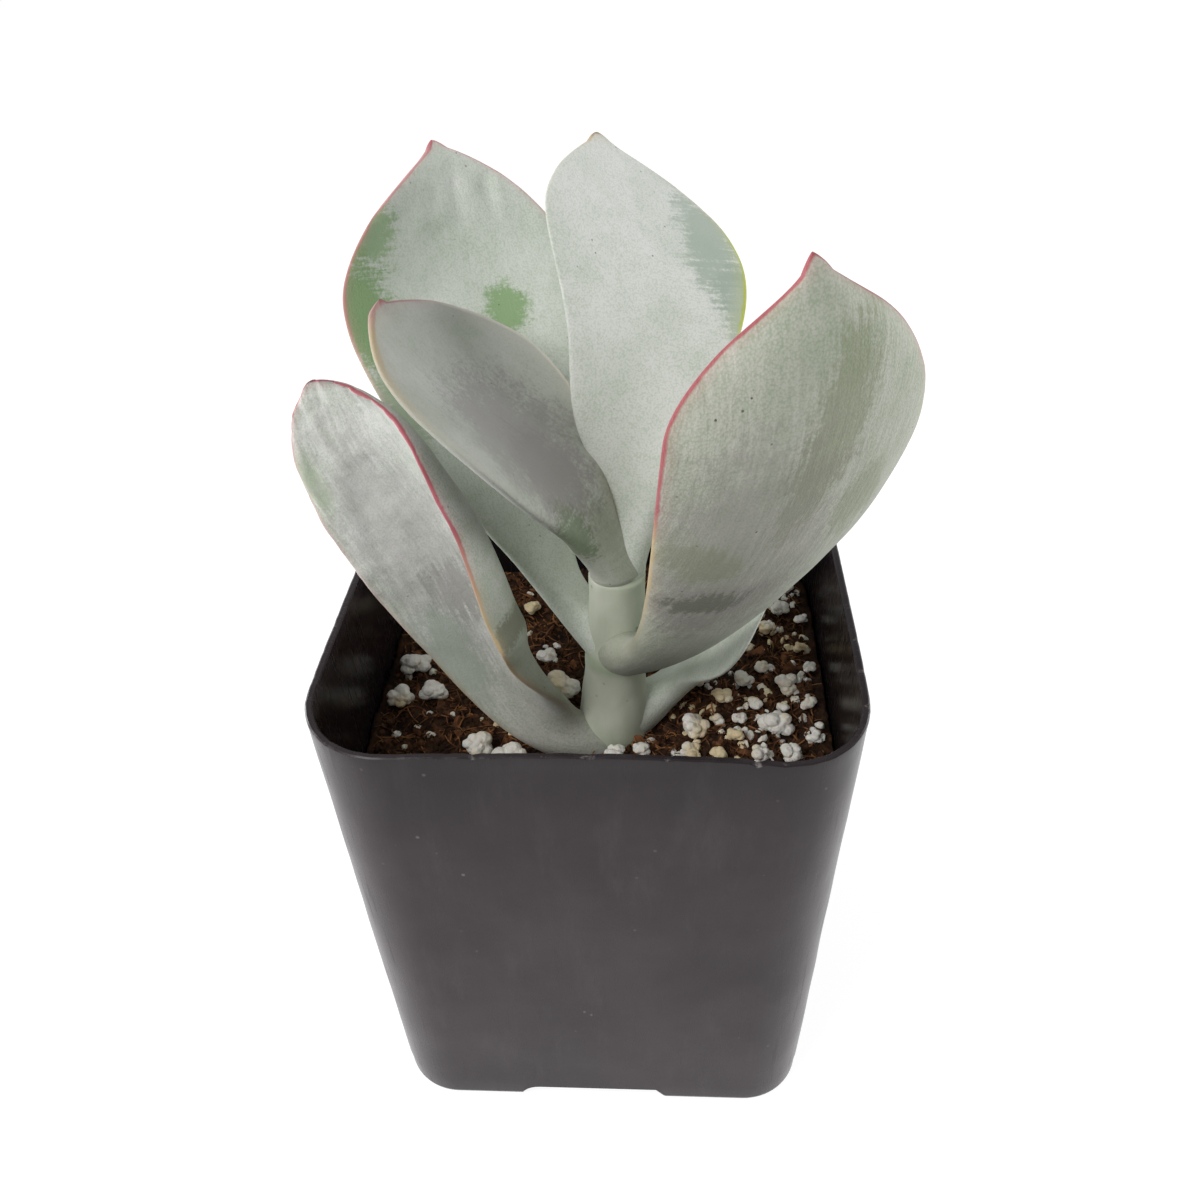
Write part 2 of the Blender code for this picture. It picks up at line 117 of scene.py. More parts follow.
panel("window", (-330, -330, 430), 0.34, 2.3, (1.0, 0.99, 0.97))
panel("left_panel", (-420, 120, 60), 0.30, 2.0)
panel("right_panel", (420, 120, 60), 0.30, 1.8)
room = bpy.data.worlds.new("white_room")
room.use_nodes = True
room.node_tree.nodes["Background"].inputs["Color"].default_value = (1.0, 1.0, 1.0, 1.0)
room.node_tree.nodes["Background"].inputs["Strength"].default_value = 0.4
stage_scene.world = room


# %% [markdown]
# ## Shader maths as Python
# A material is a graph of nodes, and long sums are hard to read as nodes. One small class wraps a socket, so
# that Python's own operators add the Math nodes, and one method makes every other node. The same method builds
# the Geometry Nodes trees further down.


# %% Wire and Web
class Wire:
    """One output socket, on which the ordinary operators work."""

    def __init__(self, web, socket):
        self.web = web
        self.socket = socket

    def maths(self, operation, *values):
        return self.web.node("ShaderNodeMath", {"operation": operation}, *values)

    def __add__(self, other):
        return self.maths("ADD", self, other)

    def __sub__(self, other):
        return self.maths("SUBTRACT", self, other)

    def __mul__(self, other):
        return self.maths("MULTIPLY", self, other)

    def __truediv__(self, other):
        return self.maths("DIVIDE", self, other)

    def __pow__(self, other):
        return self.maths("POWER", self, other)

    def __radd__(self, other):
        return self.maths("ADD", other, self)

    def __rsub__(self, other):
        return self.maths("SUBTRACT", other, self)

    def __rmul__(self, other):
        return self.maths("MULTIPLY", other, self)

    def __rtruediv__(self, other):
        return self.maths("DIVIDE", other, self)

    def clamp(self):
        return self.maths("MINIMUM", self.maths("MAXIMUM", self, 0.0), 1.0)

    def most(self, other):
        return self.maths("MAXIMUM", self, other)

    def smooth(self, start, end):
        """A soft step from 0 at start to 1 at end; end may be the smaller of the two."""
        return self.web.node("ShaderNodeMapRange", {"interpolation_type": "SMOOTHSTEP"}, self, start, end)

    def other(self, name):
        """Another output of the same node."""
        return Wire(self.web, self.web.find(self.socket.node.outputs, name))


class Web:
    """A node tree, and the one method that adds any node to it."""

    def __init__(self, tree):
        self.tree = tree

    @staticmethod
    def find(sockets, key):
        if isinstance(key, int):
            return sockets[key]
        for socket in sockets:
            if socket.identifier == key:
                return socket
        return next(s for s in sockets if s.enabled and s.name == key.replace("_", " "))

    def feed(self, socket, value):
        if isinstance(value, Wire):
            self.tree.links.new(value.socket, socket)
        elif hasattr(value, "__len__") and socket.type == "RGBA" and len(value) == 3:
            socket.default_value = (*value, 1.0)
        else:
            socket.default_value = value

    def node(self, kind, settings=None, *values, out=None, **named):
        """A node of this kind, its settings first and then its inputs, by place or by name."""
        made = self.tree.nodes.new(kind)
        for setting, value in (settings or {}).items():
            if setting == "stops":
                ramp = made.color_ramp
                while len(ramp.elements) < len(value):
                    ramp.elements.new(1.0)
                for element, (place, colour) in zip(ramp.elements, value):
                    element.position = place
                    element.color = colour
            else:
                setattr(made, setting, value)
        for key, value in (*enumerate(values), *named.items()):
            self.feed(self.find(made.inputs, key), value)
        socket = self.find(made.outputs, out) if out else next(s for s in made.outputs if s.enabled)
        return Wire(self, socket)


class Finish(Web):
    """A material whose surface is one Principled BSDF."""

    def __init__(self, name, roughness, **constants):
        self.material = bpy.data.materials.new(name)
        self.material.use_nodes = True
        super().__init__(self.material.node_tree)
        self.surface = self.tree.nodes["Principled BSDF"]
        self.surface.inputs["Roughness"].default_value = roughness
        for key, value in constants.items():
            self.surface.inputs[key.replace("_", " ")].default_value = value

    def place(self):
        return self.node("ShaderNodeTexCoord", out="Object")

    def attribute(self, name, out="Fac"):
        return self.node("ShaderNodeAttribute", {"attribute_name": name}, out=out)

    def stretched(self, vector, scale):
        return self.node("ShaderNodeVectorMath", {"operation": "MULTIPLY"}, vector, scale)

    def grain(self, vector, scale, detail=3.0, rough=0.5):
        """Fractal noise around 0.5; scale is in turns for each unit of the vector."""
        return self.node(
            "ShaderNodeTexNoise", None, Vector=vector, Scale=scale, Detail=detail, Roughness=rough
        )

    def cells(self, vector, scale, feature="F1"):
        return self.node("ShaderNodeTexVoronoi", {"feature": feature}, Vector=vector, Scale=scale)

    def mix(self, mask, under, over, how="MIX"):
        return self.node(
            "ShaderNodeMix", {"data_type": "RGBA", "blend_type": how},
            Factor_Float=mask, A_Color=under, B_Color=over, out="Result_Color",
        )

    def bump(self, height, strength, reach, below=None):
        inputs = {"Strength": strength, "Distance": reach, "Height": height}
        if below is not None:
            inputs["Normal"] = below
        return self.node("ShaderNodeBump", None, **inputs)

    def set(self, **sockets):
        for key, value in sockets.items():
            self.feed(self.surface.inputs[key.replace("_", " ")], value)
        return self.material


def picked(red, green, blue):
    """A colour given as a colour picker shows it, 0 to 255, in the linear numbers that shaders use."""
    return tuple(
        c / 255 / 12.92 if c <= 10 else ((c / 255 + 0.055) / 1.055) ** 2.4 for c in (red, green, blue)
    )


# %% Floor
def make_floor():
    bpy.ops.mesh.primitive_plane_add(size=8.0)
    floor = bpy.context.object
    floor.name = "floor"
    paper = Finish("white_paper", 0.9)
    paper.set(Base_Color=(0.2, 0.2, 0.2), Emission_Color=(1.0, 1.0, 1.0), Emission_Strength=0.9)
    floor.data.materials.append(paper.material)
    # The paper glows, so that it stays white round the pot, but its glow must not light the leaves from below
    floor.visible_diffuse = False


make_floor()


# %% [markdown]
# ## Skins over rings
# Leaf, stem, soil and pot are all a row of closed rings with a skin over them. Written once with NumPy, the
# skin also carries numbers from point to point, such as how far a point is from a leaf's margin, and the
# materials read them. That keeps a pink margin or a worn edge exactly where the shape has it.


# %% Skin
def skin(name, rings, attributes=None):
    """A closed mesh over rings of equal length, rings[ring, point, xyz], each end closed by a fan."""
    count, around = rings.shape[:2]
    points = np.concatenate([rings.reshape(-1, 3), rings[:1].mean(1), rings[-1:].mean(1)])
    ring = np.arange(count - 1)[:, None] * around
    here = np.arange(around)[None, :]
    after = (here + 1) % around
    quads = np.stack([ring + here, ring + after, ring + around + after, ring + around + here], -1)
    last = (count - 1) * around
    first_fan = [(count * around, int(b), int(a)) for a, b in zip(here[0], after[0])]
    last_fan = [(count * around + 1, int(last + a), int(last + b)) for a, b in zip(here[0], after[0])]
    mesh = bpy.data.meshes.new(name)
    mesh.from_pydata(points.tolist(), [], [*quads.reshape(-1, 4).tolist(), *first_fan, *last_fan])
    for key, values in (attributes or {}).items():
        values = np.concatenate([values.reshape(count * around, -1), values[:1].mean(1).reshape(1, -1),
                                 values[-1:].mean(1).reshape(1, -1)])
        kind, slot = ("FLOAT", "value") if values.shape[1] == 1 else ("FLOAT_VECTOR", "vector")
        mesh.attributes.new(key, kind, "POINT").data.foreach_set(slot, values.astype(np.float32).ravel())
    bm = bmesh.new()
    bm.from_mesh(mesh)
    bmesh.ops.recalc_face_normals(bm, faces=bm.faces)
    bm.to_mesh(mesh)
    bm.free()
    mesh.shade_smooth()
    return mesh


def piece(name, mesh, finish, slot, *nodes):
    """A finished piece: its mesh in the scene, riding on the body in place of these CAD nodes."""
    obj = bpy.data.objects.new(name, mesh)
    stage_scene.collection.objects.link(obj)
    mesh.materials.clear()
    mesh.materials.append(finish)
    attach(obj, BODY)
    if nodes:
        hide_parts(*nodes)
    return obj


def ripple(points, size, seed, octaves=3):
    """Smooth noise from about -1 to 1 at each of these points; size is the width of a hump, in metres."""
    shift = Vector((seed * 3.7, seed * 1.3, seed * 2.1))
    flat = points.reshape(-1, 3) / size
    values = [noise.fractal(Vector(p) + shift, 0.9, 2.0, octaves) for p in flat]
    return np.array(values).reshape(points.shape[:-1])


def smoothstep(x):
    x = np.clip(x, 0, 1)
    return x * x * (3 - 2 * x)


# %% [markdown]
# ## Leaves
# Each leaf is a spine that rises, swings and rolls, with a blade across it that swells from a stalk and closes
# at the tip. The two halves differ, as on every real leaf. The leaves' values are those of the CAD model, and
# only the resolution is finer. What is new is relief, since the whole blade undulates and some faces are
# wrinkled, a small hard point at each tip, and a stalk that grips the stem.


# %% Leaf values
Leaf = namedtuple(
    "Leaf",
    "base length rise heading roll half_width petiole petiole_end widest tip left_cup right_cup",
)
BLADE_THICKNESS = 2.0 * MM
PETIOLE_THICKNESS = 3.2 * MM
PETIOLE_THINS_BY = 0.45

# Stem: its foot in mm from the pot's middle at the soil's level, and how far its top leans over. It is a little
# thicker here than in the CAD model.
SOIL_LEVEL = 46.3
STEM_FOOT = np.array((2.2, -7.0, SOIL_LEVEL))
STEM_LEAN = np.array((0.8, 0.0, 21.5))
STEM_FOOT_RADIUS = 4.2
STEM_TOP_RADIUS = 3.0

# The stalks clasp the stem: over this share of the leaf they draw in toward the stem and turn round like it
GRIP_SPAN = 0.085
GRIP_PULL = 0.85
GRIP_ROUND = 0.8

# base: where the leaf leaves the stem, mm from the stem's foot at the level of the soil.
# rise, heading, roll: degrees at even steps from base to tip. Pairs are (left, right) from the upper face.
# half_width: mm. petiole: the stalk's share of it. widest, tip: where each side is widest and how it closes.
# left_cup, right_cup: how far each half turns up toward the upper face, in degrees.
LEAVES = {
    "leaf_lower_left": Leaf(
        base=(-1.2, -2.9, -2.1), length=53.5,
        rise=(22, 58, 65, 54, 77), heading=(199, 158, 160, 166, 150), roll=(-36, -74, -73, -72),
        half_width=(8.4, 16.0), petiole=0.19, petiole_end=0.03,
        widest=(0.57, 0.57), tip=(0.38, 0.41),
        left_cup=(20, 9, -2), right_cup=(32, 87, 115, 103, 50),
    ),
    "leaf_lower_back": Leaf(
        base=(2.7, 2.3, 0.9), length=43.3,
        rise=(15, 78, 65, 74), heading=(17, 32, 37, 46), roll=(-40, -10, -5),
        half_width=(12.0, 14.7), petiole=0.23, petiole_end=0.01,
        widest=(0.6, 0.45), tip=(0.6, 0.6),
        left_cup=(14, 26, 20), right_cup=(15, 27, 21),
    ),
    "leaf_middle_back": Leaf(
        base=(-1.5, 1.2, 11.5), length=56.8,
        rise=(46, 56, 59, 74), heading=(156, 128, 112, 123), roll=(2, 2, 10),
        half_width=(14.2, 14.6), petiole=0.17, petiole_end=0.06,
        widest=(0.7, 0.62), tip=(0.99, 0.71),
        left_cup=(12, 28, 28), right_cup=(12, 28, 23),
    ),
    "leaf_middle_right": Leaf(
        base=(1.6, -1.6, 11.0), length=60.5,
        rise=(35, 52, 71, 105), heading=(-71, -51, -44, -49), roll=(-22, -16, -17),
        half_width=(15.8, 11.3), petiole=0.18, petiole_end=0.04,
        widest=(0.66, 0.76), tip=(0.95, 1.15),
        left_cup=(12, 25, 23), right_cup=(12, 27, 29),
    ),
    "leaf_upper_left": Leaf(
        base=(-0.6, -0.9, 21.6), length=36.5,
        rise=(85, 50, 46, 66), heading=(176, 180, 183, 172), roll=(-26, -7, -2),
        half_width=(13.1, 13.2), petiole=0.24, petiole_end=0.05,
        widest=(0.62, 0.6), tip=(0.65, 0.71),
        left_cup=(14, 25, 16), right_cup=(15, 24, 17),
    ),
    "leaf_upper_back": Leaf(
        base=(2.9, 2.5, 21.4), length=47.2,
        rise=(89, 62, 42, 50), heading=(43, 81, 103, 136), roll=(0, 18, 24),
        half_width=(12.7, 11.6), petiole=0.2, petiole_end=0.05,
        widest=(0.76, 0.74), tip=(0.63, 0.91),
        left_cup=(14, 27, 3), right_cup=(14, 20, -10),
    ),
}


# %% Leaf shape
def spread(values, u):
    """A smooth curve through evenly spaced values, read at the shares u from 0 to 1."""
    values = np.asarray(values, float)
    last = len(values) - 1
    place = np.clip(np.asarray(u, float) * last, 0, last - 1e-9)
    i = place.astype(int)
    f = place - i
    here = values[i]
    after = values[i + 1]
    before = np.where(i == 0, 2 * here - after, values[np.maximum(i - 1, 0)])
    beyond = np.where(i + 2 > last, 2 * after - here, values[np.minimum(i + 2, last)])
    return 0.5 * (
        2 * here
        + (after - before) * f
        + (2 * before - 5 * here + 4 * after - beyond) * f**2
        + (3 * here - before - 3 * after + beyond) * f**3
    )


def leaf_width(leaf, side, u):
    """The half width at u on side 0, left, or 1, right: stalk, swelling blade, closing end."""
    widest = leaf.widest[side]
    swell = smoothstep((u - leaf.petiole_end) / (widest - leaf.petiole_end))
    swelling = leaf.petiole + (1 - leaf.petiole) * swell
    closing = (1 - np.clip((u - widest) / (1 - widest), 0, 1) ** 2) ** leaf.tip[side]
    return leaf.half_width[side] * MM * np.where(u < widest, swelling, closing)


def leaf_thickness(u):
    thinning = 1 - smoothstep(u / PETIOLE_THINS_BY)
    return (BLADE_THICKNESS + (PETIOLE_THICKNESS - BLADE_THICKNESS) * thinning) * np.sqrt(1 - u**8)


def leaf_spine(leaf, u):
    """The spine's points at the shares u, with the directions ahead, to the left and up from the upper face."""
    fine = np.linspace(0, 1, 401)
    rise = np.radians(spread(leaf.rise, fine))
    heading = np.radians(spread(leaf.heading, fine))
    roll = np.radians(spread(leaf.roll, fine))[:, None]
    ahead = np.stack([np.cos(rise) * np.cos(heading), np.cos(rise) * np.sin(heading), np.sin(rise)], 1)
    steps = (ahead[1:] + ahead[:-1]) / 2 * leaf.length * MM / (len(fine) - 1)
    spine = np.concatenate([np.zeros((1, 3)), np.cumsum(steps, 0)]) + (STEM_FOOT + np.array(leaf.base)) * MM
    level = np.stack([-np.sin(heading), np.cos(heading), np.zeros(len(fine))], 1)
    face = np.cross(ahead, level)
    left = level * np.cos(roll) + face * np.sin(roll)
    up = face * np.cos(roll) - level * np.sin(roll)

    def read(track):
        return np.stack([np.interp(u, fine, track[:, axis]) for axis in range(3)], -1)

    return read(spine) + np.array(POT_AXIS), read(ahead), read(left), read(up)


# %% [markdown]
# The margin needs its own numbers. `blade` says where a point lies on the leaf in mm, out from the midrib and
# along it, and which face it is on, and `rim` says how far it is from the margin. The nib is the last part of
# the spine, past where the blade closes. Relief moves both faces together where the leaf is bent, and one face
# alone where its skin puckered.


# %% Leaf mesh
STATIONS = 150
CLOSING_STATIONS = 30
NIB_STATIONS = 16
ACROSS = 41
CLOSING_SPAN = 0.06
NIB_FLATNESS = 0.85
HEEL_PULL = 0.8
HEEL_DROP = 1.6
HEEL_SHRINKS_TO = 0.7
Nib = namedtuple("Nib", "length radius lift")
Relief = namedtuple("Relief", "bend wrinkle wrinkle_at wrinkle_size")


def leaf_mesh(name, leaf, nib, relief, seed, lobe=None):
    # The blade closes a nib's length before the spine ends, and the nib fills the rest
    closes = 1 - nib.length / leaf.length
    blade_part = np.linspace(0, 0.94 * closes, STATIONS)
    closing_part = closes - CLOSING_SPAN * np.linspace(0.97, 0, CLOSING_STATIONS) ** 2
    nib_part = closes + (1 - closes) * np.sin(np.linspace(0, 1, NIB_STATIONS)[1:] * math.pi / 2)
    u = np.concatenate([blade_part, closing_part, nib_part])
    v = np.sin(np.linspace(-math.pi / 2, math.pi / 2, ACROSS))
    spine, ahead, left, up = leaf_spine(leaf, u)
    beyond = np.clip((u - closes) / (1 - closes), 0, 1)
    spine = spine + up * (nib.lift * beyond**2 * nib.length * MM)[:, None]
    drawn_in = smoothstep((u - 0.88) / (closes - 0.88)) * (1 - beyond)
    blade_u = np.clip(u + 0.5 * (1 - closes) * drawn_in, 0, 1)
    sides = np.where(v > 0, 0, 1)
    half = np.stack([leaf_width(leaf, side, blade_u) for side in sides], 1)
    taper = 0.02 + 0.98 * (1 - beyond**1.8) ** 0.8
    at_tip = smoothstep((u - closes + CLOSING_SPAN) / CLOSING_SPAN) * taper * nib.radius * MM
    half = np.hypot(half, at_tip[:, None])
    if lobe:
        side, place, width, height = lobe
        swell = height * MM * np.exp(-(((u - place) / width) ** 2))
        half = half + swell[:, None] * (sides == side)
    cups = np.radians(np.stack([spread(leaf.left_cup, u), spread(leaf.right_cup, u)], 1))[:, sides]
    size = np.abs(v)[None, :]
    turn = cups * size
    out = half * size * np.sinc(turn / math.pi) * np.sign(v)
    lift = half * size * np.sin(turn / 2) * np.sinc(turn / 2 / math.pi)
    middle = spine[:, None] + left[:, None] * out[..., None] + up[:, None] * lift[..., None]
    normal = up[:, None] * np.cos(turn)[..., None] - left[:, None] * (np.sin(turn) * np.sign(v))[..., None]
    swell = np.hypot(leaf_thickness(blade_u) / 2, at_tip * NIB_FLATNESS)[:, None]
    swell = swell * np.sqrt(1 - np.clip(size, 0, 1) ** 4)

    along = u * leaf.length
    flat = np.stack([out / MM, np.broadcast_to(along[:, None], out.shape), np.zeros_like(out)], -1)
    bend = ripple(flat * (1, 0.7, 1), 11.0, seed) * relief.bend * MM * smoothstep(u / 0.3)[:, None]
    puckers = ripple(flat * (1, 0.28, 1), relief.wrinkle_size, seed + 5, 4)
    centre = np.array(relief.wrinkle_at)
    near = np.exp(-((flat[..., 0] - centre[0]) / centre[2]) ** 2 - ((flat[..., 1] - centre[1]) / centre[3]) ** 2)
    pucker = puckers * near * relief.wrinkle * MM
    upper = middle + normal * (swell + bend + pucker)[..., None]
    lower = middle + normal * (bend - swell)[..., None]
    rings = np.concatenate([upper, lower[:, -2:0:-1]], 1)

    angles = np.concatenate([math.pi - np.linspace(0, math.pi, ACROSS), -np.linspace(0, math.pi, ACROSS)[1:-1]])
    circles = left[:, None] * np.cos(angles)[:, None] + up[:, None] * np.sin(angles)[:, None]

    # The foot of the stalk draws in toward the stem and takes on its roundness
    height = (np.array(leaf.base)[2] / STEM_LEAN[2]).clip(0, 1)
    stem = (STEM_FOOT + STEM_LEAN * height) * MM + np.array(POT_AXIS)
    radius = (STEM_FOOT_RADIUS + (STEM_TOP_RADIUS - STEM_FOOT_RADIUS) * min(1.0, height / 0.6)) * MM
    grip = np.exp(-((u / GRIP_SPAN) ** 2))[:, None, None]
    middles = rings.mean(1, keepdims=True)
    toward = (stem - spine[0]) * (1, 1, 0)
    rings = (rings - middles) * (1 - grip * GRIP_ROUND) + circles * radius * grip * GRIP_ROUND + middles
    rings = rings + toward * grip * GRIP_PULL

    rim = np.minimum(half * (1 - size), ((1 - u) * leaf.length * MM)[:, None]) / MM
    here = np.stack([out / MM, np.broadcast_to(along[:, None], out.shape), np.ones_like(out)], -1)
    blade = np.concatenate([here, (here * (1, 1, -1))[:, -2:0:-1]], 1)
    rim = np.concatenate([rim, rim[:, -2:0:-1]], 1)

    # The stalk goes on a little way into the stem, so that no end shows
    into = (stem - rings[0].mean(0)) * (HEEL_PULL, HEEL_PULL, 0) - np.array((0, 0, HEEL_DROP * MM))
    heel = rings[0].mean(0) + into + (rings[0] - rings[0].mean(0)) * HEEL_SHRINKS_TO
    rings = np.concatenate([heel[None], rings])
    blade = np.concatenate([blade[:1], blade])
    rim = np.concatenate([rim[:1], rim])
    return skin(name, rings, {"blade": blade, "rim": rim})


# %% [markdown]
# ## Leaf finish
# The green skin lies under a white waxy powder, the bloom. Fingers and neighbouring leaves rub it off in
# streaks, and the margins are stained pink to crimson where the plant had much light. So the colour is built
# in the order of the real thing: green skin, bloom with its uneven cover, rubbed patches and patches of
# painted shade, and the stained margin. Last, painted light and shade darken or lighten each leaf from base
# to tip. The bloom's cover also drives the roughness, because bare skin shines a little.

# %% Leaf colours
SKIN_GREEN = picked(118, 150, 106)
BLOOM_WHITE = picked(219, 222, 218)
# Grey bloom; on leaf_upper_left it is also painted shade over the darker middle of the face
GREY_BLOOM_AND_PAINTED_SHADE = picked(168, 165, 166)
# Olive skin in streaks; near leaf_upper_left's stalk it is painted shade
OLIVE_SKIN_AND_PAINTED_SHADE = picked(140, 152, 116)
# Painted shade: deep green for the shaded foot of leaf_upper_left's blade
PAINTED_SHADE_DEEP_GREEN = picked(104, 132, 82)
SKIN_RUBBED = picked(158, 178, 144)
SKIN_BARE = picked(136, 168, 118)
SKIN_TEAL = picked(158, 174, 160)
# Painted shade: a purple-grey for the shaded middles of leaf_upper_left and leaf_middle_right
PAINTED_SHADE_PURPLE_GREY = picked(146, 138, 140)
# Painted shadow that the rolled lobe casts on leaf_lower_left's upper face
LOBE_SHADOW_GREEN = picked(112, 116, 106)
CRIMSON = (*picked(172, 66, 84), 0.9)
ROSE = (*picked(196, 124, 130), 0.75)
PINK = (*picked(214, 176, 168), 0.55)
TAN = (*picked(206, 180, 134), 0.8)
YELLOW_GREEN = (*picked(176, 186, 66), 1.0)
PALE = (*picked(226, 228, 214), 0.5)
BROWN = (*picked(120, 88, 52), 1.0)
NONE = (*picked(206, 214, 200), 0.0)
SCAR = picked(74, 50, 36)
# A pale rim with a painted highlight, for the rolled edge catching the light
PALE_RIM_AND_PAINTED_HIGHLIGHT = (*picked(250, 244, 238), 0.95)
SKIN_SMUDGE = picked(92, 100, 82)

# A patch on a face, +1 upper, -1 lower, or 0 both at half strength: its middle out from the
# midrib and along it, its half sizes and
# turn, its colour and strength, and how far it frays into streaks that run across (or along, if negative).
Patch = namedtuple("Patch", "face out along wide long turn colour strength fray")
# The last two values of a look multiply the leaf's colour from its base to its tip: painted light and shade, for how
# the light falls on that leaf.
Look = namedtuple(
    "Look",
    "cover stipple streaks specks left_margin right_margin margin_width patches base_tint tip_tint",
)


def patch_mask(patch, out, along, face, across_streaks, along_streaks, ragged, dust):
    turn = math.radians(patch.turn)
    x = out - patch.out
    y = along - patch.along
    wide = (x * math.cos(turn) + y * math.sin(turn)) / patch.wide
    long = (y * math.cos(turn) - x * math.sin(turn)) / patch.long
    reach = (wide * wide + long * long) ** 0.5
    streaks = along_streaks if patch.fray < 0 else across_streaks
    reach = reach + (streaks - 0.5) * (abs(patch.fray) * 2.6) + (ragged - 0.5) * 1.5 + (dust - 0.5) * 1.3
    on_face = (face * patch.face).smooth(-0.2, 0.2)
    return reach.smooth(1.3, 0.6) * on_face * patch.strength


def leaf_finish(name, look, length):
    finish = Finish(name, 0.62, Specular_IOR_Level=0.32, Sheen_Weight=0.12, Sheen_Roughness=0.6)
    place = finish.place()
    blade = finish.attribute("blade", "Vector")
    parts = finish.node("ShaderNodeSeparateXYZ", None, blade)
    out, along, face = parts, parts.other("Y"), parts.other("Z")
    rim = finish.attribute("rim")
    across_streaks = finish.grain(finish.stretched(blade, (0.16, 2.2, 1.0)), 1.0, 4.0, 0.62)
    along_streaks = finish.grain(finish.stretched(blade, (1.9, 0.22, 1.0)), 1.0, 5.0, 0.65)

    clouds = finish.grain(place, 150.0, 4.0, 0.55)
    ragged = finish.grain(finish.stretched(blade, (0.3, 0.45, 1.0)), 1.0, 5.0, 0.65)
    drift = finish.grain(place, 420.0, 3.0, 0.6)
    plates = finish.cells(place, 4800.0)
    dust = finish.grain(place, 2600.0, 2.0, 0.7)
    cover = look.cover + (clouds - 0.5) * 0.55 + (drift - 0.5) * 0.3
    cover = cover + (along_streaks - 0.5) * (look.streaks * 2.0)
    cover = (cover - plates.smooth(0.42, 0.75) * look.stipple - (dust - 0.5) * look.stipple * 0.8).clamp()
    colour = finish.mix(cover, SKIN_GREEN, BLOOM_WHITE)
    rough = 0.46 + cover * 0.3

    for patch in look.patches:
        mask = patch_mask(patch, out, along, face, across_streaks, along_streaks, ragged, dust)
        colour = finish.mix(mask, colour, patch.colour)
        rough = rough - mask * 0.08

    speck = finish.cells(place, 700.0)
    where = finish.grain(place, 210.0, 1.0)
    speck = speck.smooth(0.1, 0.05) * where.smooth(0.5, 0.66) * look.specks
    colour = finish.mix(speck, colour, picked(62, 60, 48))

    share = (along / length).clamp()
    margins = []
    for stops in (look.left_margin, look.right_margin):
        ramp = finish.node("ShaderNodeValToRGB", {"stops": stops}, share)
        margins.append((ramp, ramp.other("Alpha")))
    on_left = out.smooth(-0.01, 0.01)
    stain = finish.mix(on_left, margins[1][0], margins[0][0])
    strength = margins[1][1] + (margins[0][1] - margins[1][1]) * on_left
    wander = (drift - 0.5) * 0.5
    line = (rim + wander).smooth(look.margin_width, look.margin_width * 0.3)
    blush = (rim + wander * 2.0).smooth(look.margin_width * 3.4, look.margin_width * 0.6) * 0.22
    colour = finish.mix((line.most(blush) * strength).clamp(), colour, stain)
    # Painted light and shade: the colour is made darker or lighter from base to tip, for how the light falls on this
    # leaf.
    tint = finish.mix(share.smooth(0.05, 0.8), look.base_tint, look.tip_tint)
    colour = finish.mix(1.0, colour, tint, "MULTIPLY")

    height = plates * 0.35 + drift * 0.5 + along_streaks * (0.5 + look.streaks * 2.0)
    fine = finish.bump(height, 0.6, 0.14 * MM)
    return finish.set(Base_Color=colour, Roughness=rough, Normal=fine)
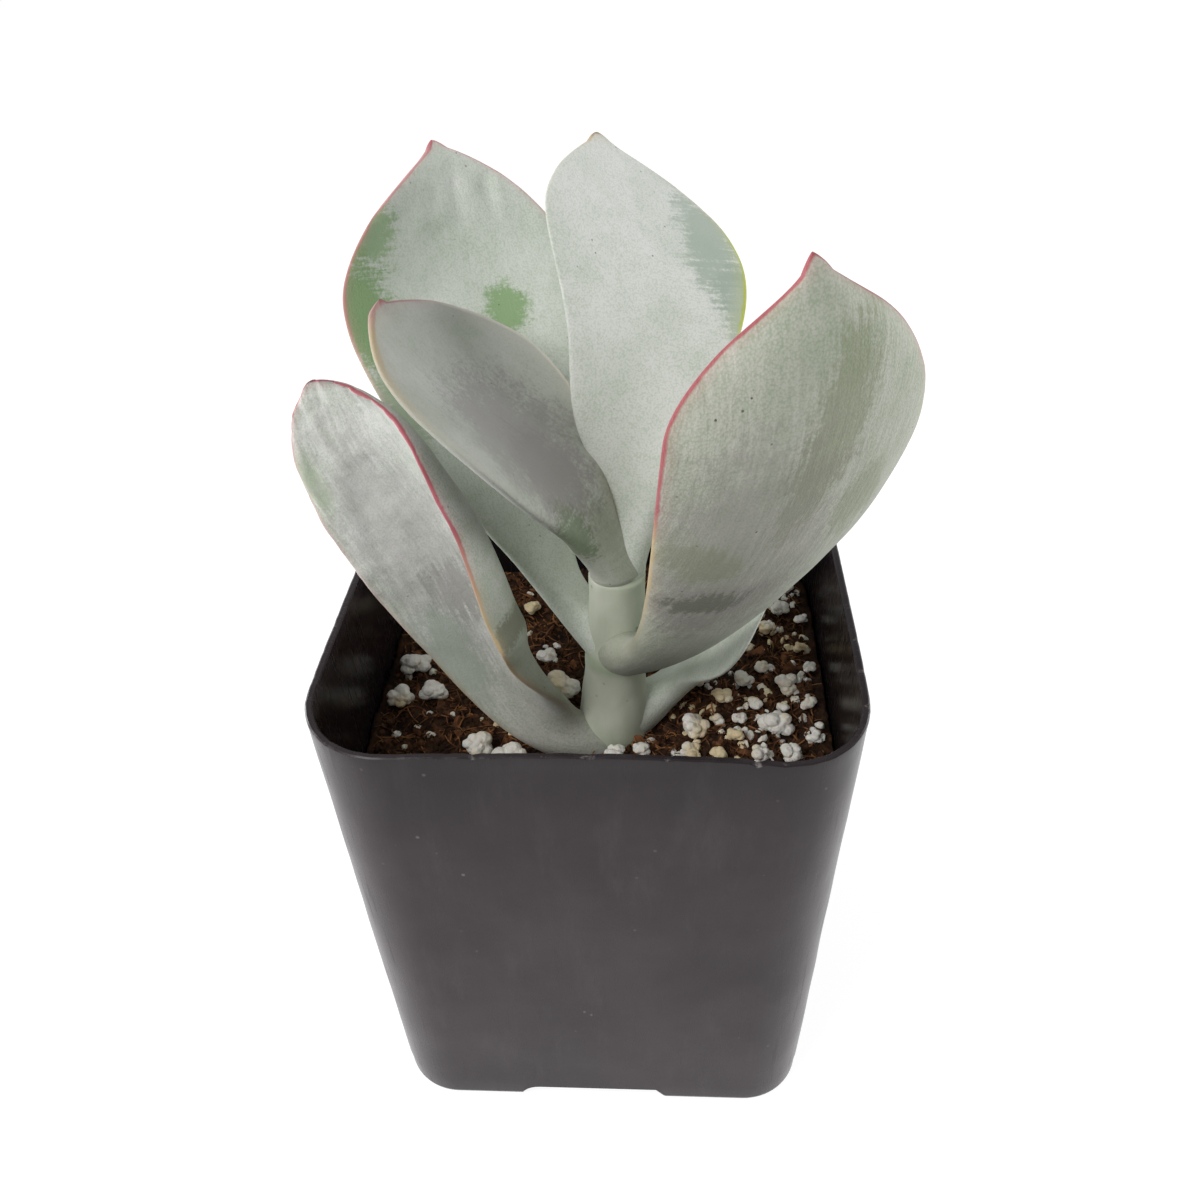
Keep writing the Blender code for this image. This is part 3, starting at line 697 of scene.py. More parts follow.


# %% [markdown]
# Every leaf has its own history, so each gets its own look: where it was rubbed, how far the stain runs down
# each margin, and how even its bloom is. Each look also holds the light and shade painted on that leaf.

# %% Leaf looks
# Each leaf: its nib, its relief, a lobe on one side (side, share of the length, width, mm out) or none, and its look
LOOKS = {
    "leaf_lower_left": (
        Nib(1.4, 0.5, 0.5), Relief(0.35, 0.7, (2.0, 42.0, 9.0, 14.0), 1.5), (1, 0.43, 0.035, 1.3),
        Look(
            0.8, 0.2, 0.3, 0.5,
            [(0.0, NONE), (0.3, TAN), (0.62, PINK), (0.8, PINK), (0.93, ROSE), (1.0, CRIMSON)],
            [(0.0, NONE), (0.36, TAN), (0.52, TAN), (0.66, CRIMSON), (1.0, CRIMSON)], 0.42,
            [
                Patch(1, 5.8, 44.6, 1.6, 3.0, 0, SKIN_RUBBED, 0.6, -0.35),
                # Painted shadow beside the rolled lobe
                Patch(1, -1.0, 27.5, 4.0, 3.4, 20, LOBE_SHADOW_GREEN, 0.55, -0.9),
                Patch(1, 1.0, 33.0, 6.0, 16.0, 0, GREY_BLOOM_AND_PAINTED_SHADE, 0.4, -0.5),
                Patch(0, -7.5, 24.6, 0.5, 1.5, 0, SCAR, 1.6, 0.0),
                Patch(1, 4.0, 20.0, 4.0, 7.0, 0, SKIN_TEAL, 0.6, -0.5),
                Patch(-1, -5.0, 18.0, 6.0, 16.0, 0, SKIN_RUBBED, 0.35, -0.5),
            ],
            (0.69, 0.65, 0.64), (1.0, 0.965, 0.985),
        ),
    ),
    "leaf_lower_back": (
        Nib(0.9, 0.4, 0.2), Relief(0.3, 0.0, (0.0, 0.0, 1.0, 1.0), 2.0), None,
        Look(
            0.82, 0.15, 0.15, 0.4,
            [(0.0, NONE), (0.7, NONE), (0.92, PINK), (1.0, ROSE)],
            [(0.0, NONE), (0.7, NONE), (0.92, PINK), (1.0, ROSE)], 0.5,
            [Patch(-1, 3.0, 26.0, 4.0, 8.0, 10, SKIN_RUBBED, 0.4, 0.5)],
            (0.95, 0.95, 0.92), (1.0, 1.0, 0.97),
        ),
    ),
    "leaf_middle_back": (
        Nib(1.0, 0.4, 0.15), Relief(0.35, 0.6, (0.0, 50.5, 12.0, 4.0), 2.2), None,
        Look(
            0.85, 0.16, 0.12, 0.6,
            [(0.0, NONE), (0.45, NONE), (0.58, PINK), (0.7, ROSE), (0.97, ROSE), (1.0, CRIMSON)],
            [(0.0, NONE), (0.7, NONE), (0.8, PINK), (0.96, ROSE), (1.0, ROSE)], 0.4,
            [
                Patch(1, 12.4, 40.0, 3.8, 6.8, -14, SKIN_BARE, 0.95, 0.55),
                Patch(1, 9.8, 48.2, 2.8, 3.8, 0, SKIN_BARE, 0.8, 0.5),
                Patch(1, -4.2, 38.4, 2.6, 2.7, -10, SKIN_BARE, 0.9, 0.4),
                Patch(1, 11.0, 27.0, 2.6, 9.0, 12, SKIN_RUBBED, 0.65, 0.8),
            ],
            (1.2, 1.2, 1.17), (1.03, 1.03, 1.02),
        ),
    ),
    "leaf_middle_right": (
        Nib(1.5, 0.62, 0.0), Relief(0.3, 0.0, (0.0, 0.0, 1.0, 1.0), 2.0), None,
        Look(
            0.74, 0.2, 0.3, 0.9,
            [(0.0, NONE), (0.4, NONE), (0.55, YELLOW_GREEN), (0.64, TAN), (0.72, TAN), (0.8, ROSE),
             (0.97, CRIMSON), (1.0, CRIMSON)],
            [(0.0, NONE), (0.46, TAN), (0.56, TAN), (0.64, CRIMSON), (1.0, CRIMSON)], 0.5,
            [
                Patch(-1, 2.4, 46.0, 2.8, 11.0, -8, OLIVE_SKIN_AND_PAINTED_SHADE, 0.6, -0.6),
                # Painted shade: this face turns down away from the light, so its lower middle is darkened
                Patch(-1, -2.0, 34.0, 9.0, 13.0, 0, PAINTED_SHADE_PURPLE_GREY, 0.4, -0.4),
                Patch(-1, -1.0, 25.5, 8.0, 5.0, 0, PAINTED_SHADE_PURPLE_GREY, 0.4, -0.4),
                Patch(-1, -2.0, 26.5, 3.6, 1.9, 8, SKIN_SMUDGE, 0.75, -0.9),
                Patch(-1, -5.0, 33.0, 4.0, 2.4, -30, OLIVE_SKIN_AND_PAINTED_SHADE, 0.5, -0.9),
                Patch(-1, 8.5, 37.5, 2.6, 4.0, 0, OLIVE_SKIN_AND_PAINTED_SHADE, 0.5, -0.4),
            ],
            (0.58, 0.56, 0.50), (0.90, 0.87, 0.81),
        ),
    ),
    "leaf_upper_left": (
        Nib(0.8, 0.45, 0.9), Relief(0.22, 0.0, (0.0, 0.0, 1.0, 1.0), 2.0), (1, 0.5, 0.26, 2.0),
        Look(
            0.85, 0.12, 0.12, 0.5,
            [(0.0, NONE), (0.4, NONE), (0.7, PALE), (0.95, TAN), (1.0, ROSE)],
            # The right margin's white band is a pale rim with a painted highlight on the rolled edge
            [(0.0, NONE), (0.2, TAN), (0.5, PALE_RIM_AND_PAINTED_HIGHLIGHT), (0.85, PALE_RIM_AND_PAINTED_HIGHLIGHT), (0.95, ROSE), (1.0, CRIMSON)], 1.0,
            [
                # Painted shade: a dark middle, and darker green where the blade narrows to the stalk
                Patch(0, 0.5, 17.0, 8.5, 10.0, 0, GREY_BLOOM_AND_PAINTED_SHADE, 1.5, -0.2),
                Patch(0, 1.0, 13.0, 5.0, 6.0, 0, PAINTED_SHADE_PURPLE_GREY, 0.7, -0.4),
                Patch(0, 4.8, 7.0, 2.4, 4.0, 0, PAINTED_SHADE_DEEP_GREEN, 1.3, 0.6),
                Patch(0, 0.0, 5.0, 3.0, 3.0, 0, OLIVE_SKIN_AND_PAINTED_SHADE, 0.6, 0.6),
            ],
            (0.67, 0.66, 0.62), (0.63, 0.62, 0.61),
        ),
    ),
    "leaf_upper_back": (
        Nib(1.3, 0.42, 0.0), Relief(0.25, 0.0, (0.0, 0.0, 1.0, 1.0), 2.0), (0, 0.3, 0.17, 2.3),
        Look(
            0.93, 0.2, 0.06, 0.7,
            [(0.0, NONE), (0.6, NONE), (0.93, PALE), (0.98, TAN), (1.0, BROWN)],
            [(0.0, NONE), (0.46, NONE), (0.53, YELLOW_GREEN), (0.74, YELLOW_GREEN), (0.82, TAN), (0.97, TAN),
             (1.0, BROWN)], 0.7,
            [
                Patch(1, -8.0, 34.0, 3.2, 6.6, 8, SKIN_TEAL, 0.8, 0.7),
                Patch(1, -9.6, 27.5, 2.4, 5.0, 0, SKIN_TEAL, 0.7, 0.6),
            ],
            (0.98, 0.97, 0.95), (1.03, 1.02, 1.02),
        ),
    ),
}

# %% Leaves in place
for number, (node, leaf) in enumerate(LEAVES.items(), 1):
    nib, relief, lobe, look = LOOKS[node]
    mesh = leaf_mesh(f"{node}_blade", leaf, nib, relief, number, lobe)
    piece(f"{node}_blade", mesh, leaf_finish(f"bloom_on_{node}", look, leaf.length), "leaf", node)
    low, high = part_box(node)
    co = np.array([p.co for p in mesh.vertices])
    over = np.maximum(np.array(low) - co.min(0), co.max(0) - np.array(high)).max()
    print(f"{node}: {len(mesh.polygons)} faces, at most {over / MM:.1f} mm past its CAD solid's box")


# %% [markdown]
# ## Stem
# The stem is one tapering shoot with a swelling at one node, where the middle pair of leaves grips it. A row
# of rings does it, with the swelling and a little unevenness in the radius. The leaves' stalks run into it, so
# that only a crease shows, as on the plant.

# %% Stem values
STEM_TOP = STEM_FOOT + STEM_LEAN * 0.97
STEM_BURIED = 10.0
STEM_NODES = (SOIL_LEVEL + 10.8,)
NODE_SWELLING = 0.3
NODE_SPAN = 1.6
CROWN_HEIGHT = 1.0


def stem_mesh():
    turns = np.linspace(0, 2 * math.pi, 48, endpoint=False)
    shaft = np.linspace(STEM_FOOT[2] - STEM_BURIED, STEM_TOP[2], 90)
    crown = STEM_TOP[2] + CROWN_HEIGHT * np.sin(np.linspace(0.1, 1, 10) * math.pi / 2)
    heights = np.concatenate([shaft, crown])
    share = (heights - STEM_FOOT[2]) / (STEM_TOP[2] - STEM_FOOT[2])
    middle = STEM_FOOT + (STEM_TOP - STEM_FOOT) * share[:, None]
    middle[:, 2] = heights
    radius = STEM_FOOT_RADIUS + (STEM_TOP_RADIUS - STEM_FOOT_RADIUS) * np.clip(share / 0.6, 0, 1)
    for node in STEM_NODES:
        radius = radius + NODE_SWELLING * np.exp(-(((heights - node) / NODE_SPAN) ** 2))
    crown = np.clip((heights - STEM_TOP[2]) / CROWN_HEIGHT, 0, 0.999)
    radius = radius * np.sqrt(1 - crown**2)
    around = np.stack([np.cos(turns), np.sin(turns), np.zeros_like(turns)], 1)
    rings = middle[:, None] + around[None] * radius[:, None, None]
    rings = rings + around[None] * ripple(rings, 4.0, 3)[..., None] * 0.12
    height = np.broadcast_to(heights[:, None], rings.shape[:2])
    return skin("stem_shoot", rings * MM + np.array(POT_AXIS), {"height": height.copy()})


def stem_finish():
    finish = Finish("bloom_on_stem", 0.6, Specular_IOR_Level=0.3, Sheen_Weight=0.1, Sheen_Roughness=0.6)
    place = finish.place()
    height = finish.attribute("height")
    clouds = finish.grain(place, 190.0, 4.0, 0.6)
    stretched = finish.stretched(place, (1.0, 1.0, 0.3))
    fibres = finish.grain(stretched, 900.0, 4.0, 0.6)
    cover = 0.78 + (clouds - 0.5) * 0.5 + (fibres - 0.5) * 0.25
    for node in STEM_NODES:
        ring = (finish.node("ShaderNodeMath", {"operation": "ABSOLUTE"}, height - node)).smooth(1.5, 0.2)
        cover = cover - ring * 0.3
    cover = (cover - height.smooth(SOIL_LEVEL + 3.5, SOIL_LEVEL - 0.3) * 0.25).clamp()
    colour = finish.mix(cover, picked(120, 146, 100), picked(207, 209, 196))
    flecks = finish.cells(place, 520.0).smooth(0.14, 0.06) * clouds.smooth(0.5, 0.62)
    colour = finish.mix(flecks * 0.7, colour, picked(96, 122, 78))
    bump = finish.bump(fibres + clouds, 0.3, 0.12 * MM)
    return finish.set(Base_Color=colour, Roughness=0.5 + cover * 0.2, Normal=bump)


piece("stem_shoot", stem_mesh(), stem_finish(), "stem", "stem")

# %% [markdown]
# ## Pot
# The pot is a thin moulding of black plastic: a square with round corners that narrows to its foot, a rounded
# foot edge, four corner pads with a channel between each two, and drain holes. The CAD solid has these shapes.
# Here the wall gets what moulding and handling leave: a faint parting line above the foot, walls that are a
# little uneven, a torn and whitened rim, and foot ends that are round on one side and bevelled on the other.

# %% Pot values
POT_TOP_WIDTH = 57.0
POT_BOTTOM_WIDTH = 49.5
POT_HEIGHT = 60.5
POT_WALL = 0.8
TOP_CORNER = 10.0
BOTTOM_CORNER = 7.0
FOOT_ROUNDING = 1.2
CHANNEL_HEIGHT = 2.2
CHANNEL_HALF = 8.0
PARTING_LINE = 3.6
PARTING_STEP = 0.1
FLOOR_TOP = CHANNEL_HEIGHT + POT_WALL
DRAIN_RADIUS = 3.0
DRAIN_SIDES = 40
CUTTER_REACH = 40
DRAIN_FROM_CENTRE = 13.0
RIM_DIPS = ((1, -1, 1.0, 9.0), (-1, -1, 0.5, 9.0), (0, -1, -0.2, 8.0))
CORNER_CUT = 1 - math.sqrt(0.5)


def square_ring(half, corner, corner_steps=18, side_steps=44):
    """A square ring with round corners, x and y in mm, with even steps along its sides."""
    points = []
    for quarter in range(4):
        turn = Matrix.Rotation(quarter * math.pi / 2, 2)
        for step in range(corner_steps + 1):
            angle = step / corner_steps * math.pi / 2
            reach = half - corner
            points.append(turn @ Vector((reach + corner * math.cos(angle), reach + corner * math.sin(angle))))
        for step in range(1, side_steps):
            points.append(turn @ Vector(((1 - 2 * step / side_steps) * (half - corner), half)))
    return np.array(points)


def pot_half(z):
    return (POT_BOTTOM_WIDTH + (POT_TOP_WIDTH - POT_BOTTOM_WIDTH) * z / POT_HEIGHT) / 2


def pot_corner(z):
    return BOTTOM_CORNER + (TOP_CORNER - BOTTOM_CORNER) * z / POT_HEIGHT


def rim_drop(ring):
    """How far the rim lies below the full height at each point: the wall's waves, then nicks and chips."""
    drop = np.zeros(len(ring))
    for toward_x, toward_y, depth, width in RIM_DIPS:
        on_corner = abs(toward_x * toward_y)
        centre = np.array((toward_x, toward_y)) * (POT_TOP_WIDTH / 2 - CORNER_CUT * TOP_CORNER * on_corner)
        drop += depth * np.exp(-((np.linalg.norm(ring - centre, axis=1) / width) ** 2))
    place = np.concatenate([ring, np.zeros((len(ring), 1))], 1)
    nicks = np.clip(ripple(place, 1.3, 11), 0, 1) * 0.16 + np.clip(ripple(place, 2.6, 17) - 0.45, 0, 1) * 0.9
    return drop, nicks


# %% Pot mesh
def pot_level(z, inset, uneven=0.0):
    ring = square_ring(pot_half(z) - inset, max(0.2, pot_corner(z) - inset))
    level = np.concatenate([ring, np.full((len(ring), 1), z)], 1)
    if uneven:
        outward = np.concatenate([ring, np.zeros((len(ring), 1))], 1)
        outward /= np.linalg.norm(outward, axis=1)[:, None]
        level += outward * ripple(level * (1, 1, 0.6), 9.0, 7)[:, None] * uneven
    return level


def pot_mesh():
    levels = []
    wear = []
    for angle in np.linspace(0, math.pi / 2, 9):
        z = FOOT_ROUNDING * (1 - math.cos(angle))
        levels.append(pot_level(z, FOOT_ROUNDING * (1 - math.sin(angle)) + PARTING_STEP))
        wear.append(0.0)
    outer = square_ring(POT_TOP_WIDTH / 2, TOP_CORNER)
    inner = square_ring(POT_TOP_WIDTH / 2 - POT_WALL, TOP_CORNER - POT_WALL)
    drop, nicks = rim_drop(outer)
    rim = POT_HEIGHT - drop

    def wall(z, inset, uneven):
        level = pot_level(z, inset, uneven)
        level[:, 2] -= drop * smoothstep(np.array((z - 30.0) / 28.0))
        return level

    for z in (PARTING_LINE - 0.25, PARTING_LINE, *np.linspace(PARTING_LINE + 0.15, POT_HEIGHT - 1.4, 44)):
        uneven = 0.12 * float(smoothstep(np.array((z - PARTING_LINE) / 6.0)))
        levels.append(wall(z, 0.0 if z > PARTING_LINE else PARTING_STEP, uneven))
        wear.append(0.0)
    for ring, below, mark in ((outer, 0.45, 0.25), (outer, 0.12, 0.9), ((outer * 0.8 + inner * 0.2), 0.0, 1.0),
                              ((outer * 0.2 + inner * 0.8), 0.0, 0.8), (inner, 0.14, 0.5), (inner, 0.5, 0.1)):
        z = rim - nicks - below
        levels.append(np.concatenate([ring, z[:, None]], 1))
        wear.append(mark)
    first_inside = len(levels)
    for z in np.linspace(POT_HEIGHT - 1.9, FLOOR_TOP + 0.4, 30):
        levels.append(wall(z, POT_WALL, 0.1))
        wear.append(0.0)
    levels.append(pot_level(FLOOR_TOP, POT_WALL + 0.4))
    wear.append(0.0)
    rings = np.array(levels) * MM + np.array(POT_AXIS)
    marks = np.array(wear)[:, None] * (0.35 + 0.65 * np.clip(nicks[None, :] * 4, 0, 1))
    inside = np.zeros_like(marks)
    inside[first_inside:] = 1.0
    return skin("nursery_pot_moulding", rings, {"wear": marks, "inside": inside})


def bar(name, low_end, high_end, turned=False):
    """A closed bar between two outlines in mm, given a quarter turn about the pot's axis if turned."""
    bm = bmesh.new()
    ends = [[bm.verts.new(point) for point in end] for end in (low_end, high_end)]
    bm.faces.new(ends[0])
    bm.faces.new(list(reversed(ends[1])))
    for i in range(len(low_end)):
        after = (i + 1) % len(low_end)
        bm.faces.new((ends[0][i], ends[0][after], ends[1][after], ends[1][i]))
    if turned:
        bmesh.ops.rotate(bm, verts=bm.verts, matrix=Matrix.Rotation(math.pi / 2, 3, "Z"))
    bmesh.ops.recalc_face_normals(bm, faces=bm.faces)
    mesh = bpy.data.meshes.new(name)
    bmesh.ops.scale(bm, verts=bm.verts, vec=(MM, MM, MM))
    bmesh.ops.translate(bm, verts=bm.verts, vec=POT_AXIS)
    bm.to_mesh(mesh)
    bm.free()
    return bpy.data.objects.new(name, mesh)


def channel(name, turned):
    """The gap between two pads: round toward the left pad, bevelled toward the right one."""
    quarter = np.linspace(0, math.pi / 2, 8)
    outline = [
        (-CHANNEL_HALF - 1.8, -2.0),
        *((-CHANNEL_HALF - 2.4 * math.cos(a) + 0.6, CHANNEL_HEIGHT * math.sin(a)) for a in quarter),
        (CHANNEL_HALF - 0.9, CHANNEL_HEIGHT), (CHANNEL_HALF + 0.9, 0.0), (CHANNEL_HALF + 0.9, -2.0),
    ]
    ends = [[(x, y, z) for x, z in outline] for y in (-CUTTER_REACH, CUTTER_REACH)]
    return bar(name, *ends, turned)


def drill(x, y):
    circle = np.linspace(0, 2 * math.pi, DRAIN_SIDES, endpoint=False)
    outline = [(x + DRAIN_RADIUS * math.cos(a), y + DRAIN_RADIUS * math.sin(a)) for a in circle]
    ends = [[(px, py, z) for px, py in outline] for z in (-1.0, FLOOR_TOP * 2)]
    return bar("drain", *ends)


def carve(mesh, cutters):
    """The mesh with these cutters taken out of it."""
    body = bpy.data.objects.new(mesh.name, mesh)
    stage_scene.collection.objects.link(body)
    for cutter in cutters:
        stage_scene.collection.objects.link(cutter)
        boolean = body.modifiers.new(cutter.name, "BOOLEAN")
        boolean.operation = "DIFFERENCE"
        boolean.object = cutter
    bpy.context.view_layer.update()
    carved = bpy.data.meshes.new_from_object(body.evaluated_get(bpy.context.evaluated_depsgraph_get()))
    for obj in (body, *cutters):
        bpy.data.objects.remove(obj)
    carved.shade_smooth()
    carved.set_sharp_from_angle(angle=math.radians(32))
    return carved


cutters = [channel("channel_y", False), channel("channel_x", True)]
cutters += [drill(x * DRAIN_FROM_CENTRE, y * DRAIN_FROM_CENTRE) for x, y in ((1, 0), (0, 1), (-1, 0), (0, -1))]
pot = carve(pot_mesh(), cutters)
print("pot faces", len(pot.polygons))


# %% Pot finish
def pot_finish():
    finish = Finish("black_nursery_plastic", 0.4, Specular_IOR_Level=0.3)
    place = finish.place()
    wear = finish.attribute("wear")
    height = finish.node("ShaderNodeSeparateXYZ", None, place, out="Z")
    mottle = finish.grain(place, 60.0, 5.0, 0.6)
    haze = finish.grain(finish.stretched(place, (1.0, 1.0, 0.25)), 260.0, 4.0, 0.65)
    scratches = finish.grain(finish.stretched(place, (1.0, 1.0, 0.05)), 1500.0, 2.0, 0.5)
    dust = finish.cells(place, 330.0).smooth(0.085, 0.04) * finish.grain(place, 90.0, 1.0).smooth(0.5, 0.62)
    colour = finish.mix(mottle.smooth(0.3, 0.7), picked(48, 39, 43), picked(62, 52, 57))
    colour = finish.mix(haze.smooth(0.5, 0.8) * 0.25, colour, picked(98, 92, 94))
    colour = finish.mix(dust * 0.5, colour, picked(150, 142, 138))
    # Painted shade: darker toward the top of the wall under the rim, and all over the inside walls
    rim_and_inside_shade = (height / MM).smooth(POT_HEIGHT - 16.0, POT_HEIGHT - 1.0) * 0.45
    rim_and_inside_shade = rim_and_inside_shade.most(finish.attribute("inside") * 0.85)
    colour = finish.mix(rim_and_inside_shade, colour, picked(18, 15, 16))
    torn = (wear * finish.grain(place, 2300.0, 3.0, 0.7) * 2.0).smooth(0.55, 1.0)
    colour = finish.mix(torn * 0.4, colour, picked(170, 164, 162))
    rough = 0.2 + mottle * 0.1 + scratches.smooth(0.55, 0.75) * 0.12 + torn * 0.25
    bump = finish.bump(mottle * 1.0 + haze * 0.25 + scratches * 0.12, 0.25, 0.3 * MM)
    return finish.set(Base_Color=colour, Roughness=rough, Normal=bump)


piece("nursery_pot_moulding", pot, pot_finish(), "pot", "nursery_pot")

# %% [markdown]
# ## Potting mix
# Potting mix is a crumbly, fibrous heap. A height field gives the heap its lumps, and Geometry Nodes strew
# thousands of crumbs, fibres, bark chips and perlite crumbs over it, which is what Geometry Nodes are best at:
# one prototype, many places, a random turn and size, and all of it plain mesh in the end.

# %% Soil surface
SOIL_TILT = 0.06
CLEARANCE = 0.3


def soil_height(x, y):
    """The CAD soil's surface, in mm, at this point counted from the pot's middle."""
    lumps = np.sin(x / 9.0 * 2 * math.pi + 0.7) * np.sin(y / 9.0 * 2 * math.pi)
    return SOIL_LEVEL + SOIL_TILT * x + 0.35 * lumps


SOIL_INSET = POT_WALL + 0.15


def soil_ring(share):
    """One ring of the lumpy surface; share is 1 at the pot's wall and 0 in the middle."""
    half = pot_half(SOIL_LEVEL) - SOIL_INSET - 0.1
    flat = square_ring(half * share, (pot_corner(SOIL_LEVEL) - SOIL_INSET) * share)
    place = np.concatenate([flat, np.zeros((len(flat), 1))], 1)
    lumps = ripple(place, 4.5, 21, 4) * 0.75 + np.abs(ripple(place, 1.4, 27, 3)) * 0.5 - 0.2
    level = soil_height(flat[:, 0], flat[:, 1]) + lumps
    return np.concatenate([flat, level[:, None]], 1)


def soil_mesh():
    walls = [pot_level(z, SOIL_INSET) for z in np.linspace(FLOOR_TOP + CLEARANCE, SOIL_LEVEL - 3.0, 8)]
    top = [soil_ring(share) for share in np.linspace(1, 0.012, 70)]
    return skin("potting_mix", np.array(walls + top) * MM + np.array(POT_AXIS))


def strewing_ground():
    """A coarse sheet over the soil that stops short of the wall, so that no bit pokes through the pot."""
    bm = bmesh.new()
    rings = [soil_ring(share) * MM + np.array(POT_AXIS) for share in np.linspace(0.955, 0.02, 24)]
    levels = [[bm.verts.new(point) for point in ring] for ring in rings]
    for outside, inside in zip(levels, levels[1:]):
        for i in range(len(outside)):
            after = (i + 1) % len(outside)
            bm.faces.new((outside[i], outside[after], inside[after], inside[i]))
    mesh = bpy.data.meshes.new("strewing_ground")
    bm.to_mesh(mesh)
    bm.free()
    return bpy.data.objects.new("strewing_ground", mesh)


def soil_finish():
    finish = Finish("damp_potting_mix", 0.9, Specular_IOR_Level=0.2)
    place = finish.place()
    lumps = finish.grain(place, 520.0, 6.0, 0.7)
    bits = finish.cells(place, 1300.0)
    colour = finish.mix(lumps.smooth(0.35, 0.7), picked(30, 19, 13), picked(74, 48, 31))
    colour = finish.mix(bits.other("Color").smooth(0.86, 0.97) * 0.5, colour, picked(118, 84, 56))
    bump = finish.bump(lumps + bits * 0.6, 0.9, 0.5 * MM)
    return finish.set(Base_Color=colour, Roughness=0.82 + lumps * 0.15, Normal=bump)


piece("potting_mix", soil_mesh(), soil_finish(), "soil", "potting_soil")
ground = strewing_ground()


# %% [markdown]
# One class holds what the four strewing trees share: named inputs, the points on the upward faces, and the
# last steps, Realize Instances and Set Material. Each tree then only says what it strews and how it lies.


# %% Strewing
class Strewing(Web):
    """A Geometry Nodes tree that strews one kind of bit over the upward faces of a mesh."""

    def __init__(self, name, **sizes):
        super().__init__(bpy.data.node_groups.new(name, "GeometryNodeTree"))
        self.identifiers = {}
        self.sizes = sizes
        faces = self.tree.interface
        faces.new_socket("Geometry", in_out="INPUT", socket_type="NodeSocketGeometry")
        faces.new_socket("Geometry", in_out="OUTPUT", socket_type="NodeSocketGeometry")
        for key in sizes:
            made = faces.new_socket(key, in_out="INPUT", socket_type="NodeSocketFloat")
            self.identifiers[key] = made.identifier
        self.inputs = self.node("NodeGroupInput")

    def size(self, key):
        return self.inputs.other(self.identifiers[key])

    def value(self, low, high, seed, kind="FLOAT"):
        """A random number, or a random vector, for each point."""
        names = {"FLOAT": ("Min_001", "Max_001"), "FLOAT_VECTOR": ("Min", "Max")}[kind]
        return self.node(
            "FunctionNodeRandomValue", {"data_type": kind}, **dict(zip(names, (low, high))), Seed=seed
        )

    def points(self, density, seed):
        upward = self.node("ShaderNodeSeparateXYZ", None, self.node("GeometryNodeInputNormal"), out="Z")
        chosen = self.node("FunctionNodeCompare", {"operation": "GREATER_THAN"}, upward, 0.3)
        return self.node(
            "GeometryNodeDistributePointsOnFaces", None,
            Mesh=self.inputs, Selection=chosen, Density=density, Seed=seed,
        )

    def strew(self, points, bit, turn, scale, finish):
        placed = self.node(
            "GeometryNodeInstanceOnPoints", None, Points=points, Instance=bit, Rotation=turn, Scale=scale
        )
        solid = self.node("GeometryNodeRealizeInstances", None, placed)
        dressed = self.node("GeometryNodeSetMaterial", None, Geometry=solid, Material=finish)
        self.feed(self.tree.nodes.new("NodeGroupOutput").inputs[0], dressed)

    def lay(self, name, bit, seed, density, turns, scales, finish, slot="soil"):
        """Strews the bit over the ground, turned and scaled between these pairs, and adds it as a piece."""
        points = self.points(density, seed)
        turn = self.value(*turns, seed + 1, "FLOAT_VECTOR")
        scale = self.value(*scales, seed + 2, "FLOAT_VECTOR")
        self.strew(points, bit, turn, scale, finish)
        piece(name, self.result(name, ground), finish, slot)

    def result(self, name, ground):
        """The strewn bits over this ground, as a plain mesh."""
        holder = bpy.data.objects.new(name, ground.data)
        stage_scene.collection.objects.link(holder)
        modifier = holder.modifiers.new(name, "NODES")
        modifier.node_group = self.tree
        for key, value in self.sizes.items():
            modifier[self.identifiers[key]] = value
        bpy.context.view_layer.update()
        mesh = bpy.data.meshes.new_from_object(holder.evaluated_get(bpy.context.evaluated_depsgraph_get()))
        bpy.data.objects.remove(holder)
        print(name, len(mesh.polygons), "faces")
        return mesh


# %% [markdown]
# The bits differ only in their prototype: a crumb is a small dented ball, a fibre is a bent strand, a chip is a
# flat splinter of bark, and a perlite crumb is a paler, rounder ball that gathers at the side where the big
# grains lie.


# %% Prototypes and their finishes
ANY_TURN = ((0.0, 0.0, 0.0), (6.28, 6.28, 6.28))


def shaken(web, shape, noise_scale, amount):
    """The shape with its points pushed about by noise."""
    noisy = web.node("ShaderNodeTexNoise", None, Scale=noise_scale, Detail=1.0, out="Color")
    push = web.node("ShaderNodeVectorMath", {"operation": "SUBTRACT"}, noisy, (0.5, 0.5, 0.5))
    push = web.node("ShaderNodeVectorMath", {"operation": "SCALE"}, push, Scale=amount)
    return web.node("GeometryNodeSetPosition", None, Geometry=shape, Offset=push)


def dented_ball(web, radius, dent, noise_scale):
    ball = web.node("GeometryNodeMeshIcoSphere", None, Radius=1.0, Subdivisions=2, out="Mesh")
    size = web.node("ShaderNodeCombineXYZ", None, radius, radius, radius * 0.8)
    return web.node("GeometryNodeTransform", None, Geometry=shaken(web, ball, noise_scale, dent), Scale=size)


def bit_finish(name, dark, light, roughness):
    """A finish whose colour changes from bit to bit, because the noise is about as coarse as a bit."""
    finish = Finish(name, roughness, Specular_IOR_Level=0.2)
    place = finish.place()
    each = finish.grain(place, 700.0, 1.0)
    fine = finish.grain(place, 3200.0, 3.0, 0.7)
    colour = finish.mix((each.smooth(0.34, 0.66) * 0.75 + fine * 0.3).clamp(), dark, light)
    return finish.set(Base_Color=colour, Normal=finish.bump(fine, 0.6, 0.15 * MM))


def strew_crumbs():
    web = Strewing("crumbs", Radius=0.45 * MM, Density=1500000.0)
    finish = bit_finish("peat_crumb", picked(34, 21, 14), picked(92, 61, 40), 0.9)
    scales = ((0.35, 0.35, 0.35), (1.5, 1.2, 1.1))
    crumb = dented_ball(web, web.size("Radius"), 0.9, 1.3)
    web.lay("soil_crumbs", crumb, 4, web.size("Density"), ANY_TURN, scales, finish)


